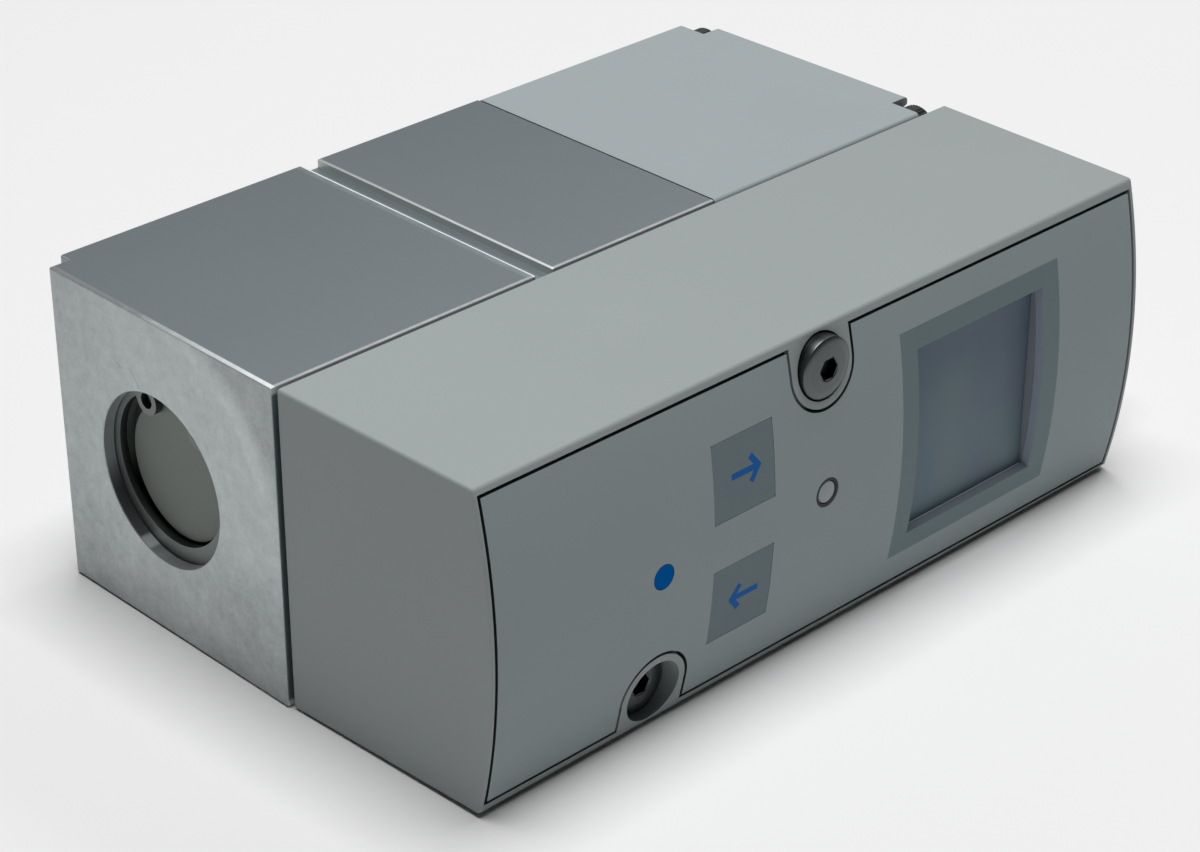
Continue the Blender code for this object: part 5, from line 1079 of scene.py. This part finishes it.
def makeButtonScrews():
    top, place, head, flat = button["upperTop"], screwPlaces["upper"], button["head"], button["flat"]
    seat = top + button["height"]
    tip = seat + button["length"]
    threadStart = tip - button["threaded"]
    first = math.radians(button["slope"])
    profile = [(top, 0), (top, flat - 0.1), (top + 0.03, flat + 0.05)]
    for i in range(1, 11):
        turn = first + (math.pi / 2 - first) * i / 10
        deep = 1 - math.cos(turn) / math.cos(first)
        wide = (math.sin(turn) - math.sin(first)) / (1 - math.sin(first))
        profile.append((top + button["dome"] * deep, flat + (head - flat) * wide))
    profile += [(seat - 0.12, head), (seat, head - 0.15), (seat, button["shank"]),
                (threadStart + 0.5, button["shank"]), (threadStart + 0.5, 0)]
    screw = addTurned("upperFixingScrew", profile, place, "Y", 96)
    corner = button["socket"] / math.sqrt(3)
    socket = addRod("socket", corner, top - 2, top + button["socketDepth"], place, "Y", 6)
    turnAbout(socket, math.pi / 6, point(place[0], 0, place[1]), "Y")
    cut(screw, socket)
    cut(screw, addRod("mouth", corner + 0.16, top - 0.1, top + 0.1, place, "Y", 64, endRadius=corner - 0.04))
    thread = addThread("thread", button["core"], button["shank"], button["pitch"], threadStart, tip - 0.3,
                       place, "Y")
    end = addRod("tip", button["core"] + 0.01, tip - 0.5, tip, place, "Y", 48, endRadius=1.3)
    unite("upperFixingScrew", screw, thread, end)
    lower = screwPlaces["lower"]
    shift = (lower[0] - place[0], button["lowerTop"] - top, lower[1] - place[1])
    for which, piece in (("upper", screw), ("lower", copyOf(screw, "lowerFixingScrew", shift))):
        finish(piece, screwLook, "plated_steel", "fixing_screw_" + which)


def makeConnector():
    centre = (connector["y"], half)
    cavity, thread, core, flange = (connector[key] for key in ("cavity", "thread", "core", "flange"))
    flangeStart = length + 0.15
    flangeEnd = flangeStart + connector["flangeThickness"]
    end, inner = length + connector["reach"], length - connector["inner"]
    profile = [(inner, cavity), (inner, thread), (flangeStart, thread), (flangeStart, flange - 0.2),
               (flangeStart + 0.2, flange), (flangeEnd - 0.4, flange), (flangeEnd, flange - 0.4),
               (flangeEnd, core), (end - 0.6, core), (end - 0.1, core - 0.25), (end, core - 0.35),
               (end, cavity + 0.15), (end - 0.2, cavity), (inner, cavity)]
    piece = addTurned("plugShell", profile, centre, "X", 96)
    winding = addThread("winding", core + 0.02, thread, connector["pitch"], flangeEnd + 0.6, end - 0.5,
                        centre, "X")
    cut(winding, addRod("core", core - 0.2, flangeEnd - 4, end + beyond, centre, "X", 64))
    finish(unite("plugShell", piece, winding), nickelLook, "nickel_brass", "connector_shell")

    floor = end - connector["cavityDepth"]
    outline = [(inner + 0.3, 0), (inner + 0.3, cavity - 0.15), (floor - 0.2, cavity - 0.15),
               (floor, cavity - 0.35), (floor, 0)]
    insert = addTurned("plugInsert", outline, centre, "X", 64)
    key = addBlock("key", (floor - 3, connector["y"] - 0.55, half + cavity - 0.75),
                   (end - 1.2, connector["y"] + 0.55, half + cavity - 0.12))
    softenEdges(key, 0.1)
    cut(insert, key, how="UNION")
    finish(insert, blackLook, "black_plastic", "connector_insert")
    radius, pinTop = connector["pin"], floor + 6.8
    pins = [addTurned("pin", [(floor - 0.5, 0), (floor - 0.5, radius), (pinTop - 0.3, radius),
                              (pinTop - 0.05, radius - 0.1), (pinTop, 0.12), (pinTop, 0)], centre, "X", 20)]
    for i in range(7):
        turn = math.tau * i / 7
        pins.append(copyOf(pins[0], "pin", (0, connector["pinCircle"] * math.cos(turn),
                                            connector["pinCircle"] * math.sin(turn))))
    finish(unite("plugPins", *pins), goldLook, "nickel_brass", angle=40)


makeBoredBlock()
makeInnerBlock()
makeCover()
makeCapScrews()
makeRetainingRing()
makePlug()
makeReturnSpring()
makePortSeals()
makeButtonScrews()
makeConnector()
print("scene: metal blocks, cover, screws and connector made")


# CAD nodes that stay, with their finishes

carried = [(displayLook, "display_window"), (boardLook, "circuit_board"), (nickelLook, "connector_nut"),
           (blackLook, "display_module back_plate"), (brassLook, "main_poppet"),
           (turnedLook, "regulating_piston pilot_base"), (coilLook, "pilot_valve_fill pilot_valve_vent"),
           (rubberLook, "key_mat housing_gasket body_seal base_seal plug_seal poppet_seal piston_seal"),
           (springLook, "pressure_sensor armature_fill armature_vent"),
           (springLook, "armature_spring_fill armature_spring_vent"),
           (blackScrewLook, "body_screw_1 body_screw_2 body_screw_3 body_screw_4")]
for look, names in carried:
    for name in names.split():
        for materialSlot in nodes[name].material_slots:
            materialSlot.material = look
print("scene: finishes set on the CAD nodes")


# floor, light and camera

studio = {"floor": 6.0, "floorColour": (0.82, 0.82, 0.82), "world": 0.03, "worldColour": (0.97, 0.99, 1.0),
          "lights": {"overheadLight": {"place": (0.0, 0.0, 1.3), "size": (0.7, 0.7), "power": 17.2},
                     "backLight": {"place": (0.85, 0.85, 0.72), "size": (1.3, 0.8), "power": 1.5},
                     "edgeLight": {"place": (0.93, 0.08, 1.17), "size": (0.25, 0.25), "power": 2.0}}}
camera = {"place": (-181.948, -207.791, 204.245), "turn": -44.12, "down": 29.26, "roll": 0.076, "lens": 93.3,
          "sensor": 36.0, "near": 0.01}


def makeStudio():
    bpy.ops.object.select_all(action="DESELECT")
    bpy.ops.mesh.primitive_plane_add(size=studio["floor"], location=(0, 0, -0.0002))
    floor = settle("studioFloor")
    shade = Shade("floorPaint", specular=0.1, rough=0.9)
    floor.data.materials.append(shade.wear(colour=studio["floorColour"]))
    world = bpy.context.scene.world or bpy.data.worlds.new("studio")
    bpy.context.scene.world = world
    world.use_nodes = True
    background = world.node_tree.nodes["Background"]
    background.inputs["Color"].default_value = (*studio["worldColour"], 1.0)
    background.inputs["Strength"].default_value = studio["world"]
    for name, values in studio["lights"].items():
        bpy.ops.object.light_add(type="AREA", location=values["place"])
        lamp = bpy.context.object
        lamp.name = name
        lamp.rotation_euler = (-lamp.location).to_track_quat("-Z", "Y").to_euler()
        lamp.data.shape = "RECTANGLE"
        lamp.data.size, lamp.data.size_y = values["size"]
        lamp.data.energy = values["power"]
    bpy.context.scene.view_settings.view_transform = "Standard"


def makeCamera():
    bpy.ops.object.camera_add(location=point(*camera["place"]))
    view = bpy.context.object
    turn = Matrix.Rotation(math.radians(camera["turn"]), 4, "Z")
    tilt = Matrix.Rotation(math.radians(90 - camera["down"]), 4, "X")
    roll = Matrix.Rotation(math.radians(camera["roll"]), 4, "Z")
    view.rotation_euler = (turn @ tilt @ roll).to_euler()
    view.data.lens = camera["lens"]
    view.data.sensor_width = camera["sensor"]
    view.data.clip_start = camera["near"]
    bpy.context.scene.camera = view


makeStudio()
makeCamera()
print("scene: studio made")
